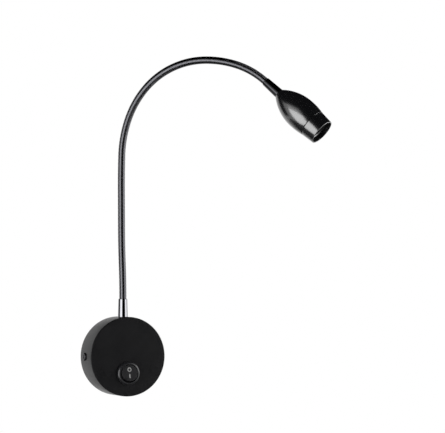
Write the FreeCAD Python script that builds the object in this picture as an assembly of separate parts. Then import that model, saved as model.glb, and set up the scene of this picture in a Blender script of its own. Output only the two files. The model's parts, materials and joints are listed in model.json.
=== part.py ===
import FreeCAD, Part
import math
import os

# Bedside wall reading lamp: a round wall base with a rocker switch, a gooseneck and a small
# bullet-shaped LED head. Sizes are in millimetres. The origin is the centre of the base's back
# face, +Y goes into the wall, +Z is up and the front of the base faces -Y.

# Base
BASE_RADIUS = 40.0
BASE_DEPTH = 29.5
COVER_WALL = 1.5
COVER_FRONT = 2.0
COVER_EDGE = 0.8
PLATE_RADIUS = 37.5
PLATE_THICKNESS = 1.5
WALL_SLOT_SPACING = 50.0
WALL_SLOT_LENGTH = 8.0
WALL_SLOT_WIDTH = 4.5
CABLE_HOLE = (-20.0, -17.0)
CABLE_HOLE_RADIUS = 7.0
CABLE_BORE_RADIUS = 4.5
COVER_SCREW_OUT = 12.2
COVER_SCREW_HEAD_RADIUS = 4.0
COVER_SCREW_HEAD_HEIGHT = 1.4
COVER_SCREW_LENGTH = 8.0
SCREW_CORE_RADIUS = 1.95
TAPPED_RADIUS = 2.0
CLEAR_HOLE_RADIUS = 2.2
TAB_X = (35.7, 37.7)
TAB_HALF_WIDTH = 6.0
TAB_BEYOND_SCREW = 5.5
BUSH_FLANGE = 2.0
BUSH_FLANGE_THICKNESS = 1.5
EARTH_SCREW_UP = -32.0
EARTH_SCREW_HEAD_RADIUS = 3.5
EARTH_SCREW_HEAD_HEIGHT = 2.4
WIRE_RADIUS = 0.6
WIRE_OUT = 7.3

# LED driver in the base: half width, bottom and top heights, depth of the case
DRIVER_HALF_WIDTH = 20.0
DRIVER_BOTTOM = 1.0
DRIVER_TOP = 23.0
DRIVER_DEPTH = 18.0
DRIVER_WALL = 1.5
DRIVER_EAR_X = 23.5
DRIVER_EAR_UP = 17.0
BOARD_OUT = 5.0
BOARD_THICKNESS = 1.6
BOARD_HALF_WIDTH = 17.5
BOARD_UP = (3.5, 20.5)
BOARD_POST_X = 15.0
BOARD_POSTS_UP = (6.5, 17.5)
BOARD_POST_RADIUS = 1.5
EAR_HALF_HEIGHT = 4.0
EAR_BEYOND_SCREW = 3.5
EAR_THICKNESS = 2.0
EAR_HOLE_RADIUS = 1.6
PLATE_PILOT_RADIUS = 1.5
WIRE_HOLE_RADIUS = 0.9
LID_GAP = 0.1
TRANSFORMER_UP = 12.0
TRANSFORMER_HALF = (6.0, 4.0)
TRANSFORMER_HEIGHT = 9.0
TRANSFORMER_LEG_RADIUS = 2.2
WINDING_RADIUS = 4.6
CAPACITOR_RADIUS = 4.0
CAPACITOR_LENGTH = 12.0
CAPACITOR_PLACE = (12.5, 5.5)

# Mains terminal block
TERMINAL_X = (14.75, 21.25)
TERMINAL_BOTTOM = -25.0
TERMINAL_TOP = -7.0
TERMINAL_HALF_WALL = 3.25
TERMINAL_DEPTH = 12.5
TERMINAL_BORE_RADIUS = 2.15
TERMINAL_SHAFT_RADIUS = 1.8
TERMINAL_SCREW_INSET = 4.0
SLEEVE_RADIUS = 2.1
SLEEVE_BORE_RADIUS = 1.3
TERMINAL_PEG = (18.0, -16.0)
TERMINAL_PEG_RADIUS = 1.25

# Rocker switch: its own frame has X across, Y up and Z out of the base, with its origin on the
# rocker's pivot
SWITCH_UP = -16.8
SWITCH_BEZEL_RADIUS = 11.75
SWITCH_BEZEL_PROUD = 3.7
SWITCH_BARREL_RADIUS = 10.0
SWITCH_OPENING_RADIUS = 9.1
SWITCH_PIVOT_OUT = 30.9
SWITCH_BACK_OUT = 12.5
SWITCH_FLOOR = 1.5
SWITCH_GAP = 0.1
BEZEL_EDGE = 1.7
ROCKER_RADIUS = 8.3
ROCKER_FACE = 3.6
ROCKER_SKIRT = -2.0
ROCKER_EDGE = 0.6
ROCKER_BORE = 7.2
ROCKER_BACK = 1.6
ROCKER_DISH_RADIUS = 60.0
ROCKER_DISH_DEPTH = 0.45
ROCKER_TILT = 10.5
TRUNNION_RADIUS = 1.25
TRUNNION_HALF_SPAN = 10.2
LEVER_TILT = 6.0
LEVER_PIVOT = -12.0
LEVER_HALF_LENGTH = 6.5
LEVER_ROLL_RADIUS = 1.0
LEVER_HALF_WIDTH = 2.0
LEVER_THICKNESS = 0.7
CONTACT_TIP_RADIUS = 1.2
CONTACT_RADIUS = 1.3
TERMINAL_TAB_HALF = (2.3, 0.4)
TERMINAL_TAB_END_OUT = 6.0
PLUNGER_TIP = -10.8
PLUNGER_BACK = -3.2
PLUNGER_RADIUS = 1.4
PLUNGER_GAP = 0.1
BOSS_RADIUS = 2.7
BOSS_END = -7.5
BOSS_FLOOR = 1.0
SPRING_BACK = -2.95
SPRING_PITCH = 0.95
SPRING_LENGTH = 3.8
SPRING_RADIUS = 1.1
SPRING_WIRE_RADIUS = 0.2
PIVOT_GAP = 0.05

# Gooseneck: arcs of equal length in one vertical plane that is turned NECK_PLANE from straight out
NECK_OUT = 14.75
NECK_PLANE = math.radians(43.7)
ARC_LENGTH = 36.25
ARC_TURNS = (-2.4, 2.1, -0.1, 1.9, 18.1, 22.6, 25.1, 23.3, 17.8, 23.0)
HOSE_CREST = 3.75
HOSE_ROOT = 3.35
HOSE_BORE = 1.9
HOSE_TAIL = 12.0
RIB_PITCH = 1.75
RIB_PROFILE = ((0.0, HOSE_ROOT), (0.25, HOSE_CREST), (0.6, HOSE_CREST), (0.85, HOSE_ROOT))
SEGMENT_START = 2.6
NOSE_START = 2.25
LEAD_RADIUS = 1.3
BALL_RADIUS = 4.5
CUP_RADIUS = 4.8
LEAD_NOSE = 4.05
LEAD_CUP_RADIUS = 5.0
LEAD_FOOT = 35.0
LEAD_INTO_HEAD = 6.0

# Ferrules
FERRULE_BASE = BASE_RADIUS
FERRULE_TOP = 58.0
FERRULE_BASE_RADIUS = 4.95
FERRULE_TOP_RADIUS = 4.5
FERRULE_EDGE = 0.5
STUD_RADIUS = 3.95
THREAD_GAP = 0.05
STUD_END = 30.5
STUD_BORE = 2.0
SOCKET_RADIUS = 3.4
NUT_FLATS = 12.0
NUT_UP = (31.7, 36.7)
WASHER_UP = (36.7, 37.7)
WASHER_RADIUS = 7.3
STUD_HOLE_GAP = 0.1
HEAD_FERRULE_EDGE = 0.4
HEAD_FERRULE_LENGTH = 18.9
HEAD_FERRULE_RADIUS = 4.3
HEAD_STUD_LENGTH = 11.0

# Head, as distances from its rear face along its axis and radii
HEAD_REAR_RADIUS = 5.0
HEAD_BULGE = (32.5, 16.08)
HEAD_SEAM = (46.2, 14.6)
HEAD_RIM = (59.6, 13.4)
HEAD_BACK_MIDDLE = (12.1, 11.8)
HEAD_FRONT_MIDDLE = (15.72, 39.5)
HEAD_REAR_WALL = 4.0
HEAD_NUT_FLATS = 11.0
HEAD_NUT = (5.05, 9.5)
HEAD_WASHER = (4.05, 5.0)
HEAD_WASHER_RADIUS = 6.4
HEAD_BORE_RADIUS = 13.0
SPIGOT_BACK = 40.5
LENS_SEAT_RADIUS = 11.6
HEAD_LEDGE = 30.0
HEAT_SINK_FRONT = 36.0
LED_BOARD_FRONT = 37.9
LED_SCREW_X = 7.5
HEAD_WIRE_HOLE = 6.0
HEAD_WIRE_HOLE_RADIUS = 1.7
LED_BOARD_RADIUS = 9.9
THERMAL_PAD_RADIUS = 9.8
THERMAL_PAD_THICKNESS = 0.3
LED_HALF_WIDTH = 2.5
LED_DOME_RADIUS = 1.8
WIRE_HALF_SPACING = 0.75
LENS_FRONT = 49.8
LENS_RADIUS = 11.0
LIP_RADIUS = 10.3
LIP_FRONT = 51.2
MOUTH_STEP = 54.3
MOUTH_RADIUS = 11.2
RIM_BORE_RADIUS = 12.4
RIM_EDGE = 0.4

V = FreeCAD.Vector
BASE_FRAME = FreeCAD.Placement(V(), FreeCAD.Rotation(V(1, 0, 0), 90))
SWITCH_FRAME = FreeCAD.Placement(
    V(0, -SWITCH_PIVOT_OUT, SWITCH_UP), FreeCAD.Rotation(V(1, 0, 0), 90)
)


def save(node, *solids):
    """Write one piece, or a group of loose pieces, under its name."""
    shape = solids[0] if len(solids) == 1 else Part.makeCompound(list(solids))
    shape.exportStep(f"parts/{node}.step")


def placed(shape, placement):
    """The shape moved from its own frame into another one."""
    moved = shape.copy()
    moved.Placement = placement.multiply(moved.Placement)
    return moved


def toward(point, axis):
    """A frame at a point with its Z along an axis."""
    return FreeCAD.Placement(point, FreeCAD.Rotation(V(0, 0, 1), axis))


def rod(radius, low, high, x=0, y=0):
    """A cylinder along Z between two heights."""
    return Part.makeCylinder(radius, high - low, V(x, y, low))


def ring(outer, inner, low, high, x=0, y=0):
    """A tube along Z between two heights."""
    return rod(outer, low, high, x, y).cut(rod(inner, low - 1, high + 1, x, y))


def block(x, y, z):
    """A box between pairs of limits."""
    return Part.makeBox(x[1] - x[0], y[1] - y[0], z[1] - z[0], V(x[0], y[0], z[0]))


def mirrored(shape):
    """The shape's copy on the other side of X = 0."""
    return shape.mirror(V(), V(1, 0, 0))


def hexagon(flats, low, high, bore):
    """A hexagon nut about Z."""
    corner = flats / math.sqrt(3)
    points = [V(corner * math.cos(i * math.pi / 3), corner * math.sin(i * math.pi / 3), low)
              for i in range(7)]
    prism = Part.Face(Part.makePolygon(points)).extrude(V(0, 0, high - low))
    return prism.cut(rod(bore, low - 1, high + 1))


def turned(points):
    """A solid turned about Z from (radius, height) points. A point of four numbers ends an arc,
    and its first two are the arc's middle."""
    edges = []
    here = points[0]
    for point in points[1:] + [points[0]]:
        there = point[-2:]
        start, end = V(here[0], 0, here[1]), V(there[0], 0, there[1])
        if len(point) == 4:
            edges.append(Part.Arc(start, V(point[0], 0, point[1]), end).toShape())
        else:
            edges.append(Part.makeLine(start, end))
        here = there
    return Part.Face(Part.Wire(edges)).revolve(V(), V(0, 0, 1), 360)


def screw(head_radius, head_height, shank_radius, length, slot):
    """A pan-head screw with its head on Z = 0 and its shank down -Z, with a straight slot."""
    edge = 0.35 * head_height
    turn = edge * math.sqrt(0.5)
    profile = [(0, -length), (shank_radius, -length), (shank_radius, 0), (head_radius, 0),
               (head_radius, head_height - edge),
               (head_radius - edge + turn, head_height - edge + turn,
                head_radius - edge, head_height), (0, head_height)]
    cut = block((-head_radius, head_radius), (-slot / 2, slot / 2),
                (0.5 * head_height, head_height + 1))
    return turned(profile).cut(cut)


def wire(points, radius=WIRE_RADIUS, bend=2.0):
    """A round wire along straight runs joined by arcs of one bend radius."""
    corners = [V(*point) for point in points]
    edges = []
    here = corners[0]
    for before, corner, after in zip(corners, corners[1:], corners[2:]):
        inward, outward = (before - corner).normalize(), (after - corner).normalize()
        half = inward.getAngle(outward) / 2
        reach = bend / math.tan(half)
        first, last = corner + inward * reach, corner + outward * reach
        middle = corner + (inward + outward).normalize() * (bend / math.sin(half) - bend)
        edges.append(Part.makeLine(here, first))
        edges.append(Part.Arc(first, middle, last).toShape())
        here = last
    edges.append(Part.makeLine(here, corners[-1]))
    section = Part.Wire([Part.makeCircle(radius, corners[0], corners[1] - corners[0])])
    return Part.Wire(edges).makePipeShell([section], True, False)


# ---------------------------------------------------------------- base


def base_cover():
    """A drawn cup with holes for the switch, the neck's stud and the two side screws."""
    edge = COVER_EDGE
    turn = edge * math.sqrt(0.5)
    inner = BASE_RADIUS - COVER_WALL
    cup = turned([
        (inner, 0), (BASE_RADIUS, 0), (BASE_RADIUS, BASE_DEPTH - edge),
        (BASE_RADIUS - edge + turn, BASE_DEPTH - edge + turn, BASE_RADIUS - edge, BASE_DEPTH),
        (0, BASE_DEPTH), (0, BASE_DEPTH - COVER_FRONT), (inner, BASE_DEPTH - COVER_FRONT),
    ])
    cup = cup.cut(rod(SWITCH_BARREL_RADIUS + SWITCH_GAP, 20, 40, 0, SWITCH_UP))
    stud_hole = placed(rod(STUD_RADIUS + STUD_HOLE_GAP, 30, 50), toward(V(0, 0, NECK_OUT), V(0, 1, 0)))
    side_holes = placed(rod(CLEAR_HOLE_RADIUS, -50, 50), toward(V(0, 0, COVER_SCREW_OUT), V(1, 0, 0)))
    return placed(cup.cut(stud_hole).cut(side_holes), BASE_FRAME)


def wall_slot(x):
    """A slot for a wall screw, long across the base."""
    half, radius = (WALL_SLOT_LENGTH - WALL_SLOT_WIDTH) / 2, WALL_SLOT_WIDTH / 2
    slot = block((x - half, x + half), (-radius, radius), (-1, 5))
    return slot.fuse(rod(radius, -1, 5, x - half)).fuse(rod(radius, -1, 5, x + half))


def wall_plate():
    """A pressed steel disc with wall slots, the cable hole and two tabs for the side screws."""
    plate = rod(PLATE_RADIUS, 0, PLATE_THICKNESS)
    tab = block(TAB_X, (-TAB_HALF_WIDTH, TAB_HALF_WIDTH), (0, COVER_SCREW_OUT + TAB_BEYOND_SCREW))
    plate = plate.fuse(tab).fuse(mirrored(tab))
    tapped = placed(rod(TAPPED_RADIUS, -50, 50), toward(V(0, 0, COVER_SCREW_OUT), V(1, 0, 0)))
    plate = plate.cut(tapped).cut(rod(TAPPED_RADIUS, -1, 5, 0, EARTH_SCREW_UP))
    for side in (-1, 1):
        plate = plate.cut(wall_slot(side * WALL_SLOT_SPACING / 2))
        plate = plate.cut(rod(PLATE_PILOT_RADIUS, -1, 5, side * DRIVER_EAR_X, DRIVER_EAR_UP))
    plate = plate.cut(rod(CABLE_HOLE_RADIUS, -1, 5, *CABLE_HOLE))
    plate = plate.cut(rod(TERMINAL_PEG_RADIUS + PIVOT_GAP, -1, 5, *TERMINAL_PEG))
    return placed(plate.removeSplitter(), BASE_FRAME)


def cable_bush():
    """A plastic bush that lines the cable hole, with its flange inside the base."""
    bore, hole, plate = CABLE_BORE_RADIUS, CABLE_HOLE_RADIUS, PLATE_THICKNESS
    flange, front = hole + BUSH_FLANGE, plate + BUSH_FLANGE_THICKNESS
    bush = turned([(bore, 0), (hole, 0), (hole, plate), (flange, plate), (flange, front),
                   (bore, front)])
    return placed(placed(bush, FreeCAD.Placement(V(*CABLE_HOLE, 0), FreeCAD.Rotation())), BASE_FRAME)


def cover_screws():
    """The two side screws that hold the cover to the plate's tabs."""
    one = screw(COVER_SCREW_HEAD_RADIUS, COVER_SCREW_HEAD_HEIGHT, SCREW_CORE_RADIUS,
                COVER_SCREW_LENGTH, 1.0)
    frame = toward(V(BASE_RADIUS, 0, COVER_SCREW_OUT), V(1, 0, 0))
    right = placed(one, frame)
    return [placed(s, BASE_FRAME) for s in (right, mirrored(right))]


def earth_screw():
    """The flanged earth screw on the plate."""
    frame = FreeCAD.Placement(V(0, EARTH_SCREW_UP, PLATE_THICKNESS), FreeCAD.Rotation())
    one = screw(EARTH_SCREW_HEAD_RADIUS, EARTH_SCREW_HEAD_HEIGHT, SCREW_CORE_RADIUS,
                PLATE_THICKNESS, 1.0)
    return placed(placed(one, frame), BASE_FRAME)


def terminal_block():
    """The two-way mains terminal block, with a bore and two screw shafts in each way, and a peg
    that holds it in the plate."""
    low, high = TERMINAL_X[0] - TERMINAL_HALF_WALL, TERMINAL_X[1] + TERMINAL_HALF_WALL
    front = PLATE_THICKNESS + TERMINAL_DEPTH
    body = block((low, high), (TERMINAL_BOTTOM, TERMINAL_TOP), (PLATE_THICKNESS, front))
    body = body.fuse(rod(TERMINAL_PEG_RADIUS, 0.2, PLATE_THICKNESS, *TERMINAL_PEG))
    for x in TERMINAL_X:
        bore = placed(rod(TERMINAL_BORE_RADIUS, -30, 0), toward(V(x, 0, WIRE_OUT), V(0, 1, 0)))
        body = body.cut(bore)
        for y in terminal_rows():
            body = body.cut(rod(TERMINAL_SHAFT_RADIUS, WIRE_OUT, front + 1, x, y))
    return placed(body, BASE_FRAME)


def terminal_rows():
    """Heights of the two clamp screws in each way."""
    return TERMINAL_BOTTOM + TERMINAL_SCREW_INSET, TERMINAL_TOP - TERMINAL_SCREW_INSET


def terminal_sleeves():
    """A brass sleeve in each way."""
    sleeves = []
    for x in TERMINAL_X:
        frame = toward(V(x, 0, WIRE_OUT), V(0, 1, 0))
        sleeve = placed(ring(SLEEVE_RADIUS, SLEEVE_BORE_RADIUS, TERMINAL_BOTTOM + 1,
                             TERMINAL_TOP - 1), frame)
        for y in terminal_rows():
            sleeve = sleeve.cut(rod(SLEEVE_BORE_RADIUS, WIRE_OUT, WIRE_OUT + 4, x, y))
        sleeves.append(placed(sleeve, BASE_FRAME))
    return sleeves


def terminal_screws():
    """Four clamp screws, two in each way."""
    screws = []
    for x in TERMINAL_X:
        for y in terminal_rows():
            frame = FreeCAD.Placement(V(x, y, WIRE_OUT + 4.0), FreeCAD.Rotation())
            screws.append(placed(placed(screw(1.65, 1.5, 1.25, 3.3, 0.6), frame), BASE_FRAME))
    return screws


def driver_case():
    """The LED driver's open box, with two screw ears, board posts and wire holes."""
    half, wall, back = DRIVER_HALF_WIDTH, DRIVER_WALL, PLATE_THICKNESS
    front = back + DRIVER_DEPTH - wall
    case = block((-half, half), (DRIVER_BOTTOM, DRIVER_TOP), (back, front))
    ear = block((half - 1, DRIVER_EAR_X + EAR_BEYOND_SCREW),
                (DRIVER_EAR_UP - EAR_HALF_HEIGHT, DRIVER_EAR_UP + EAR_HALF_HEIGHT),
                (back, back + EAR_THICKNESS))
    case = case.fuse(ear).fuse(mirrored(ear))
    case = case.cut(block((wall - half, half - wall), (DRIVER_BOTTOM + wall, DRIVER_TOP - wall),
                          (back + wall, front + 1)))
    for side in (-1, 1):
        for y in BOARD_POSTS_UP:
            post = rod(BOARD_POST_RADIUS, back + wall, BOARD_OUT, side * BOARD_POST_X, y)
            case = case.fuse(post)
        case = case.cut(rod(EAR_HOLE_RADIUS, 0, 10, side * DRIVER_EAR_X, DRIVER_EAR_UP))
    up = V(0, 1, 0)
    for x, low, high in ((17, -1, 4), (-8, -1, 4), (-4, 20, 25), (4, 20, 25)):
        case = case.cut(placed(rod(WIRE_HOLE_RADIUS, low, high), toward(V(x, 0, WIRE_OUT), up)))
    return placed(case, BASE_FRAME)


def driver_lid():
    """The driver's lid, with a lip inside the case."""
    half, wall = DRIVER_HALF_WIDTH, DRIVER_WALL
    front = PLATE_THICKNESS + DRIVER_DEPTH
    lid = block((-half, half), (DRIVER_BOTTOM, DRIVER_TOP), (front - wall, front))
    inset = wall + LID_GAP
    lip = block((inset - half, half - inset), (DRIVER_BOTTOM + inset, DRIVER_TOP - inset),
                (front - 2 * wall, front - wall))
    hollow = block((inset + 1 - half, half - inset - 1),
                   (DRIVER_BOTTOM + inset + 1, DRIVER_TOP - inset - 1),
                   (front - 2 * wall - 1, front - wall))
    return placed(lid.fuse(lip.cut(hollow)), BASE_FRAME)


def driver_board():
    """The driver's circuit board."""
    board = block((-BOARD_HALF_WIDTH, BOARD_HALF_WIDTH), BOARD_UP,
                  (BOARD_OUT, BOARD_OUT + BOARD_THICKNESS))
    return placed(board, BASE_FRAME)


def driver_transformer():
    """The transformer's ferrite core with its round leg, and the winding round the leg."""
    back = BOARD_OUT + BOARD_THICKNESS
    centre, yoke = TRANSFORMER_UP, 2.0
    half_x, half_y = TRANSFORMER_HALF
    front = back + TRANSFORMER_HEIGHT
    window = WINDING_RADIUS + 0.3
    core = block((-half_x, half_x), (centre - half_y, centre + half_y), (back, front))
    core = core.cut(block((-window, window), (0, 30), (back + yoke, front - yoke)))
    core = core.fuse(rod(TRANSFORMER_LEG_RADIUS, back + 1, front - 1, 0, centre))
    winding = ring(WINDING_RADIUS, TRANSFORMER_LEG_RADIUS + 0.2, back + yoke + 0.1,
                   front - yoke - 0.1, 0, centre)
    return [placed(s, BASE_FRAME) for s in (core, winding)]


def driver_capacitor():
    """The smoothing capacitor, lying on the board."""
    radius, length = CAPACITOR_RADIUS, CAPACITOR_LENGTH
    can = turned([(0, 0), (radius, 0), (radius, 2), (radius - 0.4, 2.5), (radius, 3),
                  (radius, length), (0, length)])
    frame = toward(V(*CAPACITOR_PLACE, BOARD_OUT + BOARD_THICKNESS + radius), V(0, 1, 0))
    return placed(placed(can, frame), BASE_FRAME)


def driver_screws():
    """Two screws through the driver's ears."""
    one = screw(2.6, 1.8, 1.45, 3.5, 0.8)
    seat = V(DRIVER_EAR_X, DRIVER_EAR_UP, PLATE_THICKNESS + EAR_THICKNESS)
    frame = FreeCAD.Placement(seat, FreeCAD.Rotation())
    right = placed(one, frame)
    return [placed(s, BASE_FRAME) for s in (right, mirrored(right))]


def mains_wires():
    """Live from the terminals to the switch, switched live to the driver, and neutral."""
    top, out = TERMINAL_TOP - 2.5, WIRE_OUT
    live_x, neutral_x = TERMINAL_X
    live = wire([(live_x, top, out), (live_x, -3.2, out), (0, -3.2, out), (0, -9.8, out)])
    neutral = wire([(neutral_x, top, out), (neutral_x, -4.0, out), (17, 0.0, out), (17, 6, out)],
                   bend=1.5)
    switched = wire([(0, SWITCH_UP - 0.5, out), (0, -22, out), (-8, -22, out), (-8, 6, out)])
    return [placed(s, BASE_FRAME) for s in (live, neutral, switched)]


def output_wires():
    """The pair from the driver into the neck's stud."""
    beside = WIRE_HALF_SPACING
    right = wire([(4, 16, WIRE_OUT), (4, 25.5, WIRE_OUT), (beside, 29.0, NECK_OUT),
                  (beside, 34, NECK_OUT)], bend=1.5)
    return [placed(s, BASE_FRAME) for s in (right, mirrored(right))]


# ---------------------------------------------------------------- switch


def switch_housing():
    """The switch's bezel and barrel, with pivot holes, snap ribs and terminal slots."""
    face = BASE_DEPTH - SWITCH_PIVOT_OUT
    front = face + SWITCH_BEZEL_PROUD
    back = SWITCH_BACK_OUT - SWITCH_PIVOT_OUT
    edge, floor = BEZEL_EDGE, back + SWITCH_FLOOR
    turn = edge * math.sqrt(0.5)
    barrel, opening, rim = SWITCH_BARREL_RADIUS, SWITCH_OPENING_RADIUS, SWITCH_BEZEL_RADIUS
    body = turned([
        (0, back), (barrel, back), (barrel, face), (rim, face), (rim, front - edge),
        (rim - edge + turn, front - edge + turn, rim - edge, front),
        (opening, front), (opening, floor), (0, floor),
    ])
    reach = TRUNNION_HALF_SPAN + 0.2
    pivot = placed(rod(TRUNNION_RADIUS + PIVOT_GAP, -reach, reach), toward(V(), V(1, 0, 0)))
    body = body.cut(pivot)
    rib = block((barrel - 0.1, barrel + 0.9), (-2, 2), (face - 5, face - COVER_FRONT - 0.2))
    body = body.fuse(rib).fuse(mirrored(rib))
    for up in (0, LEVER_HALF_LENGTH):
        body = body.cut(block((-2.5, 2.5), (up - 0.5, up + 0.5), (back - 1, back + 2)))
    return placed(body, SWITCH_FRAME)


def rocker_frame():
    """The rocker's frame at rest: its top is pressed in, which is off."""
    turn = FreeCAD.Placement(V(), FreeCAD.Rotation(V(1, 0, 0), -ROCKER_TILT))
    return SWITCH_FRAME.multiply(turn)


def switch_rocker():
    """A round rocker with a dished face, a hollow skirt, trunnions and a plunger boss."""
    edge, radius, face = ROCKER_EDGE, ROCKER_RADIUS, ROCKER_FACE
    turn = edge * math.sqrt(0.5)
    body = turned([
        (0, ROCKER_BACK), (ROCKER_BORE, ROCKER_BACK), (ROCKER_BORE, ROCKER_SKIRT),
        (radius, ROCKER_SKIRT), (radius, face - edge),
        (radius - edge + turn, face - edge + turn, radius - edge, face), (0, face),
    ])
    dish_centre = V(0, 0, face + ROCKER_DISH_RADIUS - ROCKER_DISH_DEPTH)
    dish = placed(rod(ROCKER_DISH_RADIUS, -20, 20), toward(dish_centre, V(1, 0, 0)))
    span, inside = TRUNNION_HALF_SPAN, ROCKER_BORE + 0.2
    trunnions = rod(TRUNNION_RADIUS, -span, span).cut(rod(5, -inside, inside))
    boss = rod(BOSS_RADIUS, BOSS_END, ROCKER_BACK + 0.4)
    body = body.cut(dish).fuse(placed(trunnions, toward(V(), V(1, 0, 0)))).fuse(boss)
    body = body.cut(rod(PLUNGER_RADIUS + PLUNGER_GAP, BOSS_END - 1, BOSS_FLOOR))
    return placed(body, rocker_frame())


def rocker_plunger():
    """The sprung pin that slides over the contact lever."""
    radius, end = PLUNGER_RADIUS, PLUNGER_TIP
    turn = radius * math.sqrt(0.5)
    pin = turned([(0, end), (turn, end + radius - turn, radius, end + radius),
                  (radius, PLUNGER_BACK), (0, PLUNGER_BACK)])
    return placed(pin, rocker_frame())


def rocker_spring():
    """The plunger's coil spring."""
    helix = Part.makeHelix(SPRING_PITCH, SPRING_LENGTH, SPRING_RADIUS)
    circle = Part.makeCircle(SPRING_WIRE_RADIUS, V(SPRING_RADIUS, 0, 0), V(0, 1, 0))
    coil = Part.Wire(helix.Edges).makePipeShell([Part.Wire([circle])], True, True)
    coil = placed(coil, FreeCAD.Placement(V(0, 0, SPRING_BACK), FreeCAD.Rotation()))
    return placed(coil, rocker_frame())


def contact_lever():
    """The see-saw contact, at rest tipped away from the live contact, with its contact tip."""
    half, width, thick = LEVER_HALF_LENGTH + 0.6, LEVER_HALF_WIDTH, LEVER_THICKNESS
    middle, raised = 0.2, 1.3
    outline = [V(0, -half, raised), V(0, 0, middle), V(0, half, raised),
               V(0, half, raised + thick), V(0, 0, middle + thick), V(0, -half, raised + thick),
               V(0, -half, raised)]
    strip = Part.Face(Part.makePolygon(outline)).extrude(V(2 * width, 0, 0))
    strip.translate(V(-width, 0, 0))
    roll = placed(rod(LEVER_ROLL_RADIUS, -width, width), toward(V(), V(1, 0, 0)))
    tip = rod(CONTACT_TIP_RADIUS, 0.6, 1.5, 0, LEVER_HALF_LENGTH)
    turn = FreeCAD.Placement(V(0, 0, LEVER_PIVOT), FreeCAD.Rotation(V(1, 0, 0), LEVER_TILT))
    return placed(placed(strip.fuse(roll).fuse(tip), turn), SWITCH_FRAME)


def switch_terminals():
    """The common terminal, whose cradle carries the lever, and the switched terminal."""
    end = TERMINAL_TAB_END_OUT - SWITCH_PIVOT_OUT
    wide, thin = TERMINAL_TAB_HALF
    cradle_top = LEVER_PIVOT - 0.2
    common = block((-wide, wide), (-thin, thin), (end, cradle_top - 1))
    cradle = block((-2, 2), (-1.8, 1.8), (cradle_top - 2.2, cradle_top))
    groove = placed(rod(LEVER_ROLL_RADIUS + PIVOT_GAP, -5, 5),
                    toward(V(0, 0, LEVER_PIVOT), V(1, 0, 0)))
    common = common.fuse(cradle).cut(groove)
    up = LEVER_HALF_LENGTH
    contact_top = LEVER_PIVOT - 0.3
    switched = block((-wide, wide), (up - thin, up + thin), (end, contact_top - 0.6))
    switched = switched.fuse(rod(CONTACT_RADIUS, contact_top - 0.8, contact_top, 0, up))
    return [placed(s, SWITCH_FRAME) for s in (common, switched)]


# ---------------------------------------------------------------- gooseneck


def arc_point(start, turn, length):
    """Distance out, height and heading at a length along an arc that starts at the same three."""
    out, up, heading = start
    bend = math.radians(turn) / ARC_LENGTH
    after = heading - bend * length
    return (out + (math.sin(heading) - math.sin(after)) / bend,
            up + (math.cos(after) - math.cos(heading)) / bend, after)


def arc_starts():
    """Where each arc of the neck starts, and the neck's end."""
    starts = [(0.0, FERRULE_TOP, math.pi / 2)]
    for turn in ARC_TURNS:
        starts.append(arc_point(starts[-1], turn, ARC_LENGTH))
    return starts


def neck_frame(arc, length):
    """A frame on the neck: X is square to the neck's plane and Z runs along the neck. Past its
    ends an arc goes on straight."""
    inside = min(max(length, 0.0), ARC_LENGTH)
    out, up, heading = arc_point(arc_starts()[arc], ARC_TURNS[arc], inside)
    level = V(math.sin(NECK_PLANE), -math.cos(NECK_PLANE), 0)
    along = level * math.cos(heading) + V(0, 0, math.sin(heading))
    across = V(math.cos(NECK_PLANE), math.sin(NECK_PLANE), 0)
    origin = V(0, -NECK_OUT, 0) + level * out + V(0, 0, up) + along * (length - inside)
    return FreeCAD.Placement(origin, FreeCAD.Rotation(across, along.cross(across), along, "ZXY"))


def along_neck(arc, sections):
    """A ruled loft through circles, given as (length, radius) along one arc of the neck."""
    wires = []
    for length, radius in sections:
        circle = Part.makeCircle(radius)
        circle.Placement = neck_frame(arc, length)
        wires.append(Part.Wire([circle]))
    return Part.makeLoft(wires, True, True)


def even(start, end, radius, count=9):
    """Sections of one radius, evenly spaced."""
    return [(start + (end - start) * i / (count - 1), radius) for i in range(count)]


def hose_segment(arc):
    """One length of ribbed hose. Its end is a ball about the next pivot, and its start is a cup
    about its own, so that neighbours never meet as they turn."""
    first, last = arc == 0, arc == len(ARC_TURNS) - 1
    start = -HOSE_TAIL if first else SEGMENT_START
    ribs_start = 0.4 if first else 3.5
    ribs_end = ARC_LENGTH - 0.3 if last else ARC_LENGTH + 2.2
    end = ARC_LENGTH + (HOSE_TAIL if last else NOSE_START)
    sections = [(start, HOSE_ROOT)]
    for rib in range(int((ribs_end - ribs_start) / RIB_PITCH + 0.03)):
        for share, radius in RIB_PROFILE:
            sections.append((ribs_start + (rib + share) * RIB_PITCH, radius))
    sections.append((end, HOSE_ROOT))
    hose = along_neck(arc, sections)
    if not last:
        hose = hose.fuse(placed(ball_nose(), neck_frame(arc, ARC_LENGTH)))
    hose = hose.cut(along_neck(arc, even(start - 1, end + 4, HOSE_BORE)))
    if not first:
        hose = hose.cut(Part.makeSphere(CUP_RADIUS, neck_frame(arc, 0).Base))
    return hose


def ball_nose():
    """The ball end of a hose length, about its pivot."""
    shoulder = math.asin(HOSE_ROOT / BALL_RADIUS)
    return turned([
        (0, NOSE_START), (HOSE_ROOT, NOSE_START), (HOSE_ROOT, BALL_RADIUS * math.cos(shoulder)),
        (BALL_RADIUS * math.sin(shoulder / 2), BALL_RADIUS * math.cos(shoulder / 2),
         0, BALL_RADIUS),
    ])


def lead_segment(arc):
    """The twin lead inside one length of hose."""
    first, last = arc == 0, arc == len(ARC_TURNS) - 1
    start = LEAD_FOOT - FERRULE_TOP if first else LEAD_CUP_RADIUS
    end = ARC_LENGTH + (HEAD_FERRULE_LENGTH + LEAD_INTO_HEAD if last else LEAD_NOSE)
    stops = ([start] if first else []) + [
        max(start, 0) + (min(end, ARC_LENGTH) - max(start, 0)) * i / 8 for i in range(9)
    ] + [end]
    return along_neck(arc, [(stop, LEAD_RADIUS) for stop in stops])


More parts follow.
